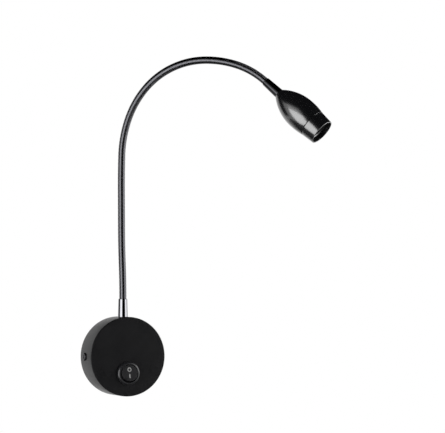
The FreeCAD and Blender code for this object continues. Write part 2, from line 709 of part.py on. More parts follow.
# ---------------------------------------------------------------- ferrules


def lower_ferrule():
    """The polished ferrule on the base, saddled to its rim, with a threaded stud below."""
    edge = FERRULE_EDGE
    turn = edge * math.sqrt(0.5)
    top = FERRULE_TOP
    body = turned([
        (0, FERRULE_BASE - 1), (FERRULE_BASE_RADIUS, FERRULE_BASE - 1),
        (FERRULE_BASE_RADIUS, FERRULE_BASE), (FERRULE_TOP_RADIUS, top - edge),
        (FERRULE_TOP_RADIUS - edge + turn, top - edge + turn, FERRULE_TOP_RADIUS - edge, top),
        (0, top),
    ])
    body.translate(V(0, -NECK_OUT, 0))
    body = body.cut(placed(rod(BASE_RADIUS, -5, 35), BASE_FRAME))
    stud = rod(STUD_RADIUS, STUD_END, FERRULE_BASE + 1, 0, -NECK_OUT)
    socket = rod(SOCKET_RADIUS, top - HOSE_TAIL, top + 1, 0, -NECK_OUT)
    bore = rod(STUD_BORE, STUD_END - 1, top, 0, -NECK_OUT)
    return body.fuse(stud).cut(socket).cut(bore)


def ferrule_washer():
    """The washer under the neck's nut."""
    washer = ring(WASHER_RADIUS, STUD_RADIUS + STUD_HOLE_GAP, *WASHER_UP)
    washer.translate(V(0, -NECK_OUT, 0))
    return washer


def ferrule_nut():
    """The nut on the neck's stud."""
    nut = hexagon(NUT_FLATS, *NUT_UP, STUD_RADIUS + THREAD_GAP)
    nut.translate(V(0, -NECK_OUT, 0))
    return nut


def upper_ferrule():
    """The ferrule between the hose and the head, with a threaded stud into the head."""
    length, edge = HEAD_FERRULE_LENGTH, HEAD_FERRULE_EDGE
    turn = edge * math.sqrt(0.5)
    radius = HEAD_FERRULE_RADIUS
    body = turned([
        (0, 0), (radius - edge, 0), (radius - edge + turn, edge - turn, radius, edge),
        (HEAD_REAR_RADIUS, length), (STUD_RADIUS, length),
        (STUD_RADIUS, length + HEAD_STUD_LENGTH), (0, length + HEAD_STUD_LENGTH),
    ])
    body = body.cut(rod(SOCKET_RADIUS, -1, HOSE_TAIL)).cut(rod(STUD_BORE, 5, 50))
    return placed(body, neck_frame(len(ARC_TURNS) - 1, ARC_LENGTH))


# ---------------------------------------------------------------- head


def head_frame():
    """The head's frame: its origin is its rear face's centre and Z runs along its axis."""
    return neck_frame(len(ARC_TURNS) - 1, ARC_LENGTH + HEAD_FERRULE_LENGTH)


def head_body():
    """The turned bullet-shaped body, bored for the heat sink and the bezel's thread."""
    bulge_z, bulge_r = HEAD_BULGE
    seam_z, seam_r = HEAD_SEAM
    bore, hole = HEAD_BORE_RADIUS, STUD_RADIUS + STUD_HOLE_GAP
    body = turned([
        (hole, 0), (HEAD_REAR_RADIUS, 0), (*HEAD_BACK_MIDDLE, bulge_r, bulge_z),
        (*HEAD_FRONT_MIDDLE, seam_r + 0.08, seam_z - 0.3), (seam_r - 0.2, seam_z),
        (bore, seam_z), (bore, HEAD_LEDGE), (11.0, HEAD_LEDGE), (11.0, 20), (6.8, 10),
        (6.8, HEAD_REAR_WALL), (hole, HEAD_REAR_WALL),
    ])
    return placed(body, head_frame())


def head_bezel():
    """The screw-in front bezel, with a rolled rim, a stepped black mouth and a lens lip."""
    seam_z, seam_r = HEAD_SEAM
    rim_z, rim_r = HEAD_RIM
    spigot, seat, edge = HEAD_BORE_RADIUS - PIVOT_GAP, LENS_SEAT_RADIUS, RIM_EDGE
    turn = edge * (1 - math.sqrt(0.5))
    bezel = turned([
        (seat, SPIGOT_BACK), (spigot, SPIGOT_BACK), (spigot, seam_z + 0.05),
        (seam_r - 0.22, seam_z + 0.05), (seam_r - 0.02, seam_z + 0.35), (rim_r, rim_z - edge),
        (rim_r - turn, rim_z - turn, rim_r - edge, rim_z), (RIM_BORE_RADIUS, rim_z),
        (RIM_BORE_RADIUS - 0.2, MOUTH_STEP), (MOUTH_RADIUS, MOUTH_STEP),
        (MOUTH_RADIUS - 0.2, LIP_FRONT), (LIP_RADIUS, LIP_FRONT),
        (LIP_RADIUS, LENS_FRONT + 0.1), (seat, LENS_FRONT + 0.1),
    ])
    return placed(bezel, head_frame())


def head_washer():
    """The washer inside the head's rear wall."""
    return placed(ring(HEAD_WASHER_RADIUS, STUD_RADIUS + STUD_HOLE_GAP, *HEAD_WASHER), head_frame())


def head_nut():
    """The nut on the upper ferrule's stud."""
    return placed(hexagon(HEAD_NUT_FLATS, *HEAD_NUT, STUD_RADIUS + THREAD_GAP), head_frame())


def heat_sink():
    """The aluminium slug behind the LED board, with a wire hole and two tapped holes."""
    slug = rod(HEAD_BORE_RADIUS - PIVOT_GAP, HEAD_LEDGE + 0.02, HEAT_SINK_FRONT)
    slug = slug.fuse(ring(10.6, 8.0, HEAD_LEDGE - 7, HEAD_LEDGE + 0.5))
    slug = slug.cut(rod(HEAD_WIRE_HOLE_RADIUS, 0, 50, 0, HEAD_WIRE_HOLE))
    for side in (-1, 1):
        slug = slug.cut(rod(1.0, HEAT_SINK_FRONT - 4, 50, side * LED_SCREW_X))
    return placed(slug, head_frame())


def board_disc(radius, low, high):
    """A disc with the wire hole and the two screw holes of the LED board."""
    hole = rod(HEAD_WIRE_HOLE_RADIUS, low - 1, high + 1, 0, HEAD_WIRE_HOLE)
    disc = rod(radius, low, high).cut(hole)
    for side in (-1, 1):
        disc = disc.cut(rod(1.1, low - 1, high + 1, side * LED_SCREW_X))
    return placed(disc, head_frame())


def led_emitter():
    """The LED package with its dome."""
    front, half = LED_BOARD_FRONT, LED_HALF_WIDTH
    package = block((-half, half), (-half, half), (front, front + 0.8))
    dome = Part.makeSphere(LED_DOME_RADIUS, V(0, 0, front + 0.6), V(0, 0, 1), 0, 90, 360)
    return placed(package.fuse(dome), head_frame())


def led_board_screws():
    """Two screws that hold the LED board."""
    one = screw(1.7, 1.1, 0.95, 5.0, 0.5)
    frame = FreeCAD.Placement(V(LED_SCREW_X, 0, LED_BOARD_FRONT), FreeCAD.Rotation())
    right = placed(one, frame)
    return [placed(s, head_frame()) for s in (right, mirrored(right))]


def lens_holder():
    """The black ring that holds the lens off the board."""
    front = LENS_FRONT - 1.55
    return placed(ring(11.5, 10.7, LED_BOARD_FRONT + 0.02, front), head_frame())


def lens():
    """The collimating lens: a flange, a cone and a hollow over the emitter."""
    flange = LENS_FRONT - 1.5
    shape = turned([
        (0, 42.8), (2.3, 42.2), (2.3, 40.6), (3.4, 40.6), (7.6, 44.6, 10.2, flange),
        (LENS_RADIUS, flange), (LENS_RADIUS, LENS_FRONT), (0, LENS_FRONT),
    ])
    return placed(shape, head_frame())


def lens_seal():
    """The seal round the lens flange."""
    return placed(ring(11.55, LENS_RADIUS + 0.05, LENS_FRONT - 1.4, LENS_FRONT), head_frame())


def led_wires():
    """The pair from the neck's lead through the heat sink to the LED board."""
    hole, beside = HEAD_WIRE_HOLE, WIRE_HALF_SPACING
    right = wire([(beside, 0, 6.5), (beside, 0, 14), (beside, hole, 24), (beside, hole, 38.6)],
                 bend=3.0)
    return [placed(s, head_frame()) for s in (right, mirrored(right))]


# ---------------------------------------------------------------- whole lamp


def build_base():
    """The wall base and what it holds."""
    save("base_cover", base_cover())
    save("wall_plate", wall_plate())
    save("cable_bush", cable_bush())
    save("cover_screws", *cover_screws())
    save("earth_screw", earth_screw())
    save("terminal_block", terminal_block())
    save("terminal_sleeves", *terminal_sleeves())
    save("terminal_screws", *terminal_screws())
    save("driver_case", driver_case())
    save("driver_lid", driver_lid())
    save("driver_board", driver_board())
    save("driver_transformer", *driver_transformer())
    save("driver_capacitor", driver_capacitor())
    save("driver_screws", *driver_screws())
    save("mains_wires", *mains_wires())
    save("output_wires", *output_wires())


def build_switch():
    """The rocker switch, standing at off."""
    save("switch_housing", switch_housing())
    save("switch_rocker", switch_rocker())
    save("rocker_plunger", rocker_plunger())
    save("rocker_spring", rocker_spring())
    save("contact_lever", contact_lever())
    save("switch_terminals", *switch_terminals())


def build_neck():
    """The gooseneck's lengths, its lead and its ferrules."""
    for arc in range(len(ARC_TURNS)):
        save(f"hose_segment_{arc + 1:02d}", hose_segment(arc))
        save(f"lead_segment_{arc + 1:02d}", lead_segment(arc))
    save("lower_ferrule", lower_ferrule())
    save("ferrule_washer", ferrule_washer())
    save("ferrule_nut", ferrule_nut())
    save("upper_ferrule", upper_ferrule())


def build_head():
    """The head and what it holds."""
    save("head_body", head_body())
    save("head_bezel", head_bezel())
    save("head_washer", head_washer())
    save("head_nut", head_nut())
    save("heat_sink", heat_sink())
    pad_front = HEAT_SINK_FRONT + THERMAL_PAD_THICKNESS
    save("thermal_pad", board_disc(THERMAL_PAD_RADIUS, HEAT_SINK_FRONT, pad_front))
    save("led_board", board_disc(LED_BOARD_RADIUS, pad_front, LED_BOARD_FRONT))
    save("led_emitter", led_emitter())
    save("led_board_screws", *led_board_screws())
    save("lens_holder", lens_holder())
    save("lens", lens())
    save("lens_seal", lens_seal())
    save("led_wires", *led_wires())


os.makedirs("parts", exist_ok=True)
build_base()
build_switch()
build_neck()
build_head()
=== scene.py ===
import json
import logging
import math
from collections.abc import Iterable, Sequence
from dataclasses import dataclass, field
from enum import Enum

import bmesh
import bpy
from mathutils import Matrix, Vector

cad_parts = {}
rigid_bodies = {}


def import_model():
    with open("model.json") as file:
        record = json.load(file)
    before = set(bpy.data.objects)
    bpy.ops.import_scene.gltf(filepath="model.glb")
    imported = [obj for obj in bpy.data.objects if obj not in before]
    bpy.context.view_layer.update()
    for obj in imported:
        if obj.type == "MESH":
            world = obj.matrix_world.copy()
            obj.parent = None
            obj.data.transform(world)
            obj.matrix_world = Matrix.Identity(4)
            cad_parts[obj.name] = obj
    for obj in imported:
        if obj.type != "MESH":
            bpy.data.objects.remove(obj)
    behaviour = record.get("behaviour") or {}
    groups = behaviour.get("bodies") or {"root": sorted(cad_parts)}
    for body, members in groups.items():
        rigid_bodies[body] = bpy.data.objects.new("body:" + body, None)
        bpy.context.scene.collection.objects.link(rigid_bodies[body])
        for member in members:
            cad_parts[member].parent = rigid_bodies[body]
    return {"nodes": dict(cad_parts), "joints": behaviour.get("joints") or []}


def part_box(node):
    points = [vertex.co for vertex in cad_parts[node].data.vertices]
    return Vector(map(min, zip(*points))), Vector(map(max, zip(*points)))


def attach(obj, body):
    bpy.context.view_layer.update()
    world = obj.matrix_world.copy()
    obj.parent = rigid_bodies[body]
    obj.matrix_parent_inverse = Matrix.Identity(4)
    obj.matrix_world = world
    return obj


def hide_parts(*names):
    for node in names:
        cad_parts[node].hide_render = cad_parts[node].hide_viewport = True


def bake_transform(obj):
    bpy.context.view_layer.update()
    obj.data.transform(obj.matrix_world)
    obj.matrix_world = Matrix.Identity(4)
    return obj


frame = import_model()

LOG = logging.getLogger("reading_lamp")
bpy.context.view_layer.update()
MM = 0.001
RoundPoint = tuple[float, float]

# Sizes that two sub-assemblies share, in millimetres.
BASE_RADIUS = 40.0
UPPER_FERRULE_LENGTH = 18.9

# How every finish drifts: mostly with its own grain, and a little with blotches of about 18 mm.
GRAIN_SHARE = 0.65
BLOTCHES_PER_METRE = 55.0
NOISE_SPAN = (0.3, 0.7)
SMOOTHEST = 0.02


# ---- materials


def srgb(code: str) -> tuple[float, float, float, float]:
    """Turn an sRGB hex colour into linear values.

    Args:
        code: Six hex digits after a hash.

    Returns:
        Red, green, blue and an alpha of one.
    """
    parts = [int(code[i : i + 2], 16) / 255 for i in (1, 3, 5)]
    linear = [c / 12.92 if c <= 0.04045 else ((c + 0.055) / 1.055) ** 2.4 for c in parts]
    return (*linear, 1.0)


def add_node(
    tree: bpy.types.NodeTree,
    kind: str,
    inputs: dict[str | int, object] | None = None,
    **settings: object,
) -> bpy.types.Node:
    """Add a node with its settings, and fill or link its inputs.

    Args:
        tree: The node tree.
        kind: The node's type name without "ShaderNode".
        inputs: A value, or another node's output socket, by input name or number.
        **settings: The node's own properties.

    Returns:
        The new node.
    """
    node = tree.nodes.new("ShaderNode" + kind)
    for name, value in settings.items():
        setattr(node, name, value)
    for key, value in (inputs or {}).items():
        if isinstance(value, bpy.types.NodeSocket):
            tree.links.new(value, node.inputs[key])
        else:
            node.inputs[key].default_value = value
    return node


class Texture(Enum):
    """How a finish's surface pattern lies."""

    GRAIN = "grain"
    BRUSHED = "brushed"
    TURNED = "turned"
    SMOOTH = "smooth"


@dataclass(frozen=True)
class Finish:
    """A surface finish, named for its material and how it was made.

    Attributes:
        name: The material's name.
        colour: Its sRGB colour.
        second: The colour that its pattern drifts towards.
        roughness: The middle of its roughness.
        spread: How far the roughness drifts each way.
        metallic: One for metals.
        texture: How the pattern lies.
        pattern_mm: The size of one grain, scratch or blotch.
        relief_mm: The height of the bump.
        settings: Further inputs of the shader that are the same all over.
    """

    name: str
    colour: str
    second: str
    roughness: float
    spread: float = 0.04
    metallic: float = 0.0
    texture: Texture = Texture.GRAIN
    pattern_mm: float = 0.5
    relief_mm: float = 0.01
    settings: tuple[tuple[str, float], ...] = ()

    def stretch(self) -> tuple[float, float, float]:
        """How many times finer the pattern is along X, Y and Z."""
        return {Texture.BRUSHED: (1.0, 1.0, 0.04), Texture.TURNED: (0.05, 0.05, 1.0)}.get(
            self.texture, (1.0, 1.0, 1.0)
        )

    def material(self) -> bpy.types.Material:
        """Build the material, or return the one that is already there.

        Returns:
            The material, whose colour and roughness drift with a fine and a coarse noise.
        """
        found = bpy.data.materials.get(self.name)
        if found:
            return found
        made = bpy.data.materials.new(self.name)
        made.use_nodes = True
        tree = made.node_tree
        tree.nodes.clear()
        place = add_node(tree, "TexCoord")
        inside = place.outputs["Object"]
        turn = add_node(tree, "Mapping", {"Vector": inside, "Scale": self.stretch()})
        fine = add_node(tree, "TexNoise", {
            "Vector": turn.outputs[0], "Scale": 1 / (self.pattern_mm * MM), "Detail": 4.0,
            "Roughness": 0.6,
        })
        cloud = add_node(tree, "TexNoise", {
            "Vector": inside, "Scale": BLOTCHES_PER_METRE, "Detail": 3.0,
        })
        grains = add_node(tree, "Math", {0: fine.outputs[0], 1: GRAIN_SHARE},
                          operation="MULTIPLY")
        both = add_node(tree, "Math", {
            0: cloud.outputs[0], 1: 1 - GRAIN_SHARE, 2: grains.outputs[0],
        }, operation="MULTIPLY_ADD")
        colour = add_node(tree, "Mix", {
            "Factor": both.outputs[0], 6: srgb(self.colour), 7: srgb(self.second),
        }, data_type="RGBA")
        rough = add_node(tree, "MapRange", {
            "Value": both.outputs[0], "From Min": NOISE_SPAN[0], "From Max": NOISE_SPAN[1],
            "To Min": max(self.roughness - self.spread, SMOOTHEST),
            "To Max": min(self.roughness + self.spread, 1.0),
        })
        inputs: dict[str | int, object] = {
            "Base Color": colour.outputs[2],
            "Roughness": rough.outputs[0],
            "Metallic": self.metallic,
        }
        if self.texture is not Texture.SMOOTH:
            bump = add_node(tree, "Bump", {
                "Height": fine.outputs[0], "Distance": self.relief_mm * MM, "Strength": 1.0,
            })
            inputs["Normal"] = bump.outputs[0]
        inputs.update(dict(self.settings))
        shader = add_node(tree, "BsdfPrincipled", inputs)
        add_node(tree, "OutputMaterial", {"Surface": shader.outputs[0]})
        return made


# Powder coat sprayed dry on pressed steel: dull black with a fine sandy grit. The real grit,
# about 0.2 mm, is too fine to show, so it is drawn coarser.
POWDER_COAT = Finish("powder_coat_sandy_black", "#060607", "#0c0c0e", 0.31, 0.05,
                     pattern_mm=0.65, relief_mm=0.055,
                     settings=(("Specular IOR Level", 0.25),))
# Baked enamel over turned aluminium: smooth deep black with soft-edged highlights.
ENAMEL = Finish("baked_enamel_satin_black", "#070708", "#0c0c0e", 0.22, 0.03,
                pattern_mm=0.8, relief_mm=0.002,
                settings=(("Specular IOR Level", 0.8), ("Coat Weight", 0.8),
                          ("Coat Roughness", 0.16)))
# Black chrome on wound steel: a dark metal with crisp narrow glints on each turn.
BLACK_CHROME = Finish("black_chrome_wound_steel", "#4a4a4d", "#555558", 0.12, 0.03, 1.0,
                      pattern_mm=0.3, relief_mm=0.002)
# Nickel plate polished to a mirror on a turned ferrule.
NICKEL = Finish("polished_black_nickel_plate", "#6c6c6f", "#767679", 0.08, 0.02, 1.0,
                Texture.TURNED, 0.25, 0.0008)
# The same plate laid on thicker and darker at the head: near black, with one thin glint.
DARK_NICKEL = Finish("dark_nickel_plate", "#2b2b2d", "#323234", 0.12, 0.02, 1.0,
                     Texture.TURNED, 0.25, 0.0008)
# Black nylon moulded in a spark-eroded tool: fine even grain and a soft sheen.
SWITCH_NYLON = Finish("moulded_black_nylon", "#101012", "#17171a", 0.3, 0.05,
                      pattern_mm=0.35, relief_mm=0.01)
# The rocker's nylon has a coarser spark-eroded face that scatters more light.
ROCKER_NYLON = Finish("moulded_rocker_nylon", "#0c0c0e", "#141416", 0.36, 0.05,
                      pattern_mm=0.3, relief_mm=0.015,
                      settings=(("Specular IOR Level", 0.35),))
# Pad-printed ink on the rocker: chalky pale grey.
PAD_PRINT = Finish("pad_printed_grey_ink", "#858584", "#90908f", 0.6, 0.05,
                   pattern_mm=0.2, relief_mm=0.004)
# Black anodising in the mouth, turned in fine steps that swallow stray light.
MOUTH_ANODISED = Finish("black_anodised_turned", "#0d0d0f", "#151517", 0.24, 0.06, 0.0,
                        Texture.TURNED, 0.3, 0.006, (("Specular IOR Level", 0.9),))
# Zinc plate on pressed steel: pale grey with cloudy patches.
ZINC = Finish("zinc_plated_steel", "#a9abac", "#bcbdbe", 0.34, 0.08, 1.0, pattern_mm=0.9,
              relief_mm=0.004)
# Black oxide on cold-headed screws.
BLACK_OXIDE = Finish("black_oxide_screw", "#38383a", "#444447", 0.4, 0.06, 1.0,
                     pattern_mm=0.4, relief_mm=0.004)
# Brass turned from bar: warm yellow with fine rings round its axis.
BRASS = Finish("turned_brass", "#b8954e", "#c7a660", 0.28, 0.06, 1.0, Texture.TURNED, 0.3, 0.003)
# Natural polyamide, moulded: milky and slightly waxy.
POLYAMIDE = Finish("moulded_natural_polyamide", "#cfccc0", "#d8d5ca", 0.42, 0.05,
                   pattern_mm=0.5, relief_mm=0.006,
                   settings=(("Subsurface Weight", 0.15), ("Subsurface Scale", 0.002)))
# White polycarbonate, moulded: clean and evenly soft in its sheen.
POLYCARBONATE = Finish("moulded_white_polycarbonate", "#dcdcd8", "#e4e4e0", 0.36, 0.04,
                       pattern_mm=0.6, relief_mm=0.004)
# Glass-fibre board under green solder mask: the weave shows faintly.
SOLDER_MASK = Finish("green_solder_mask", "#15512f", "#1d6039", 0.3, 0.05, pattern_mm=1.0,
                     relief_mm=0.006)
# Polyester tape wound over ferrite: amber, with the laps drawn out along it.
FERRITE_TAPE = Finish("polyester_tape_on_ferrite", "#b08c2c", "#c39f3a", 0.3, 0.05,
                      texture=Texture.BRUSHED, pattern_mm=0.8, relief_mm=0.006)
# Shrunk sleeve on a capacitor: near black with a low waxy shine.
SHRINK_SLEEVE = Finish("black_shrink_sleeve", "#1d2024", "#26292e", 0.35, 0.05, pattern_mm=1.5,
                       relief_mm=0.004)
# Extruded wire insulation: off-white, with faint lines along the wire.
WIRE_PVC = Finish("extruded_white_pvc", "#c9c8c2", "#d2d1cb", 0.45, 0.05,
                  texture=Texture.BRUSHED, pattern_mm=0.6, relief_mm=0.003)
# Aluminium turned and left bare: bright, with fine rings.
ALUMINIUM = Finish("turned_aluminium", "#c6c7c9", "#d2d3d5", 0.26, 0.05, 1.0, Texture.TURNED,
                   0.25, 0.004)
# White solder mask on a metal-core board: flat white that throws the light forwards.
WHITE_MASK = Finish("white_solder_mask", "#e2e2de", "#eaeae6", 0.34, 0.04, pattern_mm=0.8,
                    relief_mm=0.003)
# Silicone over phosphor: a yellow dome.
PHOSPHOR = Finish("silicone_over_phosphor", "#d9c24a", "#e2cd60", 0.25, 0.04, pattern_mm=0.3,
                  relief_mm=0.002)
# Black silicone, moulded: dull and slightly dusty.
SILICONE = Finish("moulded_black_silicone", "#1a1a1b", "#222223", 0.6, 0.05, pattern_mm=0.4,
                  relief_mm=0.004)
# Clear acrylic, injection-moulded and polished: bends what is behind it and glints at its rim.
ACRYLIC = Finish("moulded_clear_acrylic", "#f2f5f6", "#f7f9fa", 0.04, 0.02,
                 texture=Texture.SMOOTH,
                 settings=(("Transmission Weight", 1.0), ("IOR", 1.49)))

# The finish of each piece that keeps its own shape.
CARRIED_FINISHES: dict[str, Finish] = {
    node: finish
    for finish, nodes in (
        (ZINC, ("wall_plate", "terminal_screws", "driver_screws", "ferrule_washer", "ferrule_nut",
                "head_washer", "head_nut", "led_board_screws", "rocker_spring")),
        (BRASS, ("earth_screw", "terminal_sleeves", "contact_lever", "switch_terminals")),
        (SILICONE, ("cable_bush", "thermal_pad", "lens_seal")),
        (POLYAMIDE, ("terminal_block", "rocker_plunger")),
        (POLYCARBONATE, ("driver_case", "driver_lid")),
        (WIRE_PVC, ("mains_wires", "output_wires", "led_wires")),
        (MOUTH_ANODISED, ("lens_holder",)), (SOLDER_MASK, ("driver_board",)),
        (FERRITE_TAPE, ("driver_transformer",)), (SHRINK_SLEEVE, ("driver_capacitor",)),
        (ALUMINIUM, ("heat_sink",)), (WHITE_MASK, ("led_board",)), (PHOSPHOR, ("led_emitter",)),
    )
    for node in nodes
}


# ---- mesh tools


def arc_through(
    start: RoundPoint, middle: RoundPoint, end: RoundPoint, steps: int
) -> list[RoundPoint]:
    """Points on the arc through three points, from the start to the end.

    Args:
        start: First point, as radius and height.
        middle: A point on the arc.
        end: Last point.
        steps: How many chords the arc is cut into.

    Returns:
        The points, both ends among them.
    """
    (ax, ay), (bx, by), (cx, cy) = start, middle, end
    d = 2 * (ax * (by - cy) + bx * (cy - ay) + cx * (ay - by))
    sa, sb, sc = ax * ax + ay * ay, bx * bx + by * by, cx * cx + cy * cy
    ox = (sa * (by - cy) + sb * (cy - ay) + sc * (ay - by)) / d
    oy = (sa * (cx - bx) + sb * (ax - cx) + sc * (bx - ax)) / d
    radius = math.hypot(ax - ox, ay - oy)
    first = math.atan2(ay - oy, ax - ox)
    sweep = math.atan2(cy - oy, cx - ox) - first
    via = math.atan2(by - oy, bx - ox) - first
    if (via % math.tau) > (sweep % math.tau):
        sweep = sweep % math.tau - math.tau
    else:
        sweep %= math.tau
    return [
        (ox + radius * math.cos(first + sweep * i / steps),
         oy + radius * math.sin(first + sweep * i / steps))
        for i in range(steps + 1)
    ]


def rounded(corners: Sequence[tuple[float, ...]], steps: int = 5) -> list[RoundPoint]:
    """Round the corners of an outline.

    Args:
        corners: Radius and height of each corner, and its rounding where it has one.
        steps: How many chords a rounded corner gets.

    Returns:
        The outline's points.
    """
    points: list[RoundPoint] = []
    for i, corner in enumerate(corners):
        here = Vector(corner[:2])
        if len(corner) < 3 or i in (0, len(corners) - 1):
            points.append(tuple(here))
            continue
        before = (Vector(corners[i - 1][:2]) - here).normalized()
        after = (Vector(corners[i + 1][:2]) - here).normalized()
        half = before.angle(after) / 2
        reach = corner[2] / math.tan(half)
        middle = here + (before + after).normalized() * (corner[2] / math.sin(half) - corner[2])
        points += arc_through(tuple(here + before * reach), tuple(middle),
                              tuple(here + after * reach), steps)
    return points


def lathe(
    outline: Iterable[RoundPoint], segments: int = 96, closed: bool = False
) -> bmesh.types.BMesh:
    """Spin an outline about Z.

    Args:
        outline: Radii and heights, in metres.
        segments: How many sides the turned shape has.
        closed: Whether the outline's end joins its start, as on a ring.

    Returns:
        The turned mesh, closed and with its faces outwards.
    """
    bm = bmesh.new()
    line = [bm.verts.new((r, 0.0, z)) for r, z in outline]
    edges = [bm.edges.new(pair) for pair in zip(line, line[1:])]
    if closed:
        edges.append(bm.edges.new((line[-1], line[0])))
    bmesh.ops.spin(bm, geom=line + edges, axis=(0, 0, 1), cent=(0, 0, 0), angle=math.tau,
                   steps=segments, use_merge=True)
    bmesh.ops.remove_doubles(bm, verts=bm.verts, dist=1e-7)
    bmesh.ops.recalc_face_normals(bm, faces=bm.faces)
    return bm


def scaled(outline: Iterable[RoundPoint]) -> list[RoundPoint]:
    """An outline in millimetres as one in metres."""
    return [(r * MM, z * MM) for r, z in outline]


def mesh_object(
    name: str, bm: bmesh.types.BMesh, material: bpy.types.Material
) -> bpy.types.Object:
    """Make an object of a mesh and link it to the scene.

    Args:
        name: The object's name.
        bm: Its mesh, which is used up.
        material: Its material.

    Returns:
        The object.
    """
    mesh = bpy.data.meshes.new(name)
    bm.to_mesh(mesh)
    bm.free()
    mesh.materials.append(material)
    made = bpy.data.objects.new(name, mesh)
    bpy.context.scene.collection.objects.link(made)
    return made


@dataclass
class Workshop:
    """Turns meshes into named pieces that ride on the lamp's bodies."""

    made: list[bpy.types.Object] = field(default_factory=list)

    def piece(
        self,
        name: str,
        bm: bmesh.types.BMesh,
        finish: Finish,
        slot: str,
        place: Matrix = Matrix.Identity(4),
        body: str | None = None,
        replaces: Sequence[str] = (),
        sharp: float = 38.0,
    ) -> bpy.types.Object:
        """Make a finished piece from a mesh.

        Args:
            name: The piece's name.
            bm: Its mesh, which is used up.
            finish: Its finish.
            slot: The record's material slot that it stands for; not used.
            place: Where the mesh goes.
            body: The body that it rides on, or none to leave it on no body.
            replaces: The nodes that it stands for.
            sharp: The angle in degrees past which an edge stays sharp.

        Returns:
            The piece.
        """
        bm.transform(place)
        for face in bm.faces:
            face.smooth = True
        for edge in bm.edges:
            edge.smooth = edge.calc_face_angle(0.0) < math.radians(sharp)
        made = mesh_object(name, bm, finish.material())
        if body:
            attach(made, body)
        if replaces:
            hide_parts(*replaces)
        self.made.append(made)
        LOG.info("made %s: %d faces, in %s", name, len(made.data.polygons), finish.name)
        return made


# ---- the neck's path


@dataclass
class NeckPath:
    """The gooseneck's centreline at rest: arcs that meet at the neck's joints.

    Attributes:
        head_turn: The last arc's turn, in degrees, which no joint marks.
        leaning: A stop where the neck leans, which with its end gives its plane.
        stops: Where each arc starts, and the neck's end.
        headings: The neck's direction at each stop.
        bodies: The body that carries each arc.
    """

    head_turn: float = 23.0
    leaning: int = 4
    stops: list[Vector] = field(default_factory=list)
    headings: list[Vector] = field(default_factory=list)
    bodies: list[str] = field(default_factory=list)

    def __post_init__(self) -> None:
        """Work the arcs out from the joints and the lower ferrule."""
        low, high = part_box("lower_ferrule")
        self.stops = [Vector(((low.x + high.x) / 2, (low.y + high.y) / 2, high.z))]
        self.headings = [Vector((0.0, 0.0, 1.0))]
        joints = [j for j in frame["joints"] if j["name"].startswith("neck_")]
        self.bodies = [joints[0]["parent"]] + [j["child"] for j in joints]
        for joint in joints:
            self.add_stop(Vector(joint["pos_m"]))
        across = self.across()
        heading = self.headings[-1]
        length = self.arc_length(len(self.stops) - 2)
        turn = math.radians(self.head_turn)
        chord = 2 * length / turn * math.sin(turn / 2)
        direction = Matrix.Rotation(turn / 2, 3, across) @ heading
        self.add_stop(self.stops[-1] + direction * chord)

    def add_stop(self, point: Vector) -> None:
        """Carry the path on to a point by the arc that leaves the last stop smoothly."""
        chord = (point - self.stops[-1]).normalized()
        last = self.headings[-1]
        self.headings.append((2 * last.dot(chord) * chord - last).normalized())
        self.stops.append(point)

    def across(self) -> Vector:
        """The direction square to the neck's plane."""
        return self.headings[self.leaning].cross(self.headings[-1]).normalized()

    def turn(self, arc: int) -> float:
        """How far one arc turns, in radians, downwards positive."""
        first, last = self.headings[arc], self.headings[arc + 1]
        return math.copysign(first.angle(last), first.cross(last).dot(self.across()) or 1.0)

    def arc_length(self, arc: int) -> float:
        """One arc's length along the neck."""
        chord = (self.stops[arc + 1] - self.stops[arc]).length
        half = abs(self.turn(arc)) / 2
        return chord * half / math.sin(half) if half > 1e-6 else chord

    def lengths(self) -> list[float]:
        """The distance along the neck of each stop."""
        total, found = 0.0, [0.0]
        for arc in range(len(self.stops) - 1):
            total += self.arc_length(arc)
            found.append(total)
        return found

    def frame_at(self, distance: float) -> Matrix:
        """A frame on the neck, with X square to its plane and Z along it.

        Args:
            distance: How far along the neck; past its ends the path goes on straight.

        Returns:
            The frame's matrix.
        """
        marks = self.lengths()
        inside = min(max(distance, 0.0), marks[-1])
        arc = max(i for i in range(len(marks) - 1) if marks[i] <= inside)
        share = (inside - marks[arc]) / self.arc_length(arc)
        turned = self.turn(arc) * share
        across = self.across()
        start = self.headings[arc]
        heading = Matrix.Rotation(turned, 3, across) @ start
        half = turned / 2
        length = (inside - marks[arc]) * (math.sin(half) / half if abs(half) > 1e-6 else 1.0)
        point = self.stops[arc] + (Matrix.Rotation(half, 3, across) @ start) * length
        point = point + heading * (distance - inside)
        side = heading.cross(across).normalized()
        turned_frame = Matrix((across, side, heading)).transposed().to_4x4()
        return Matrix.Translation(point) @ turned_frame


# ---- sub-assemblies


@dataclass
class SubAssembly:
    """Something that a shop makes pieces for, with its sizes in millimetres."""

    shop: Workshop


@dataclass
class NeckAssembly(SubAssembly):
    """A sub-assembly that stands on the gooseneck's centreline."""

    path: NeckPath


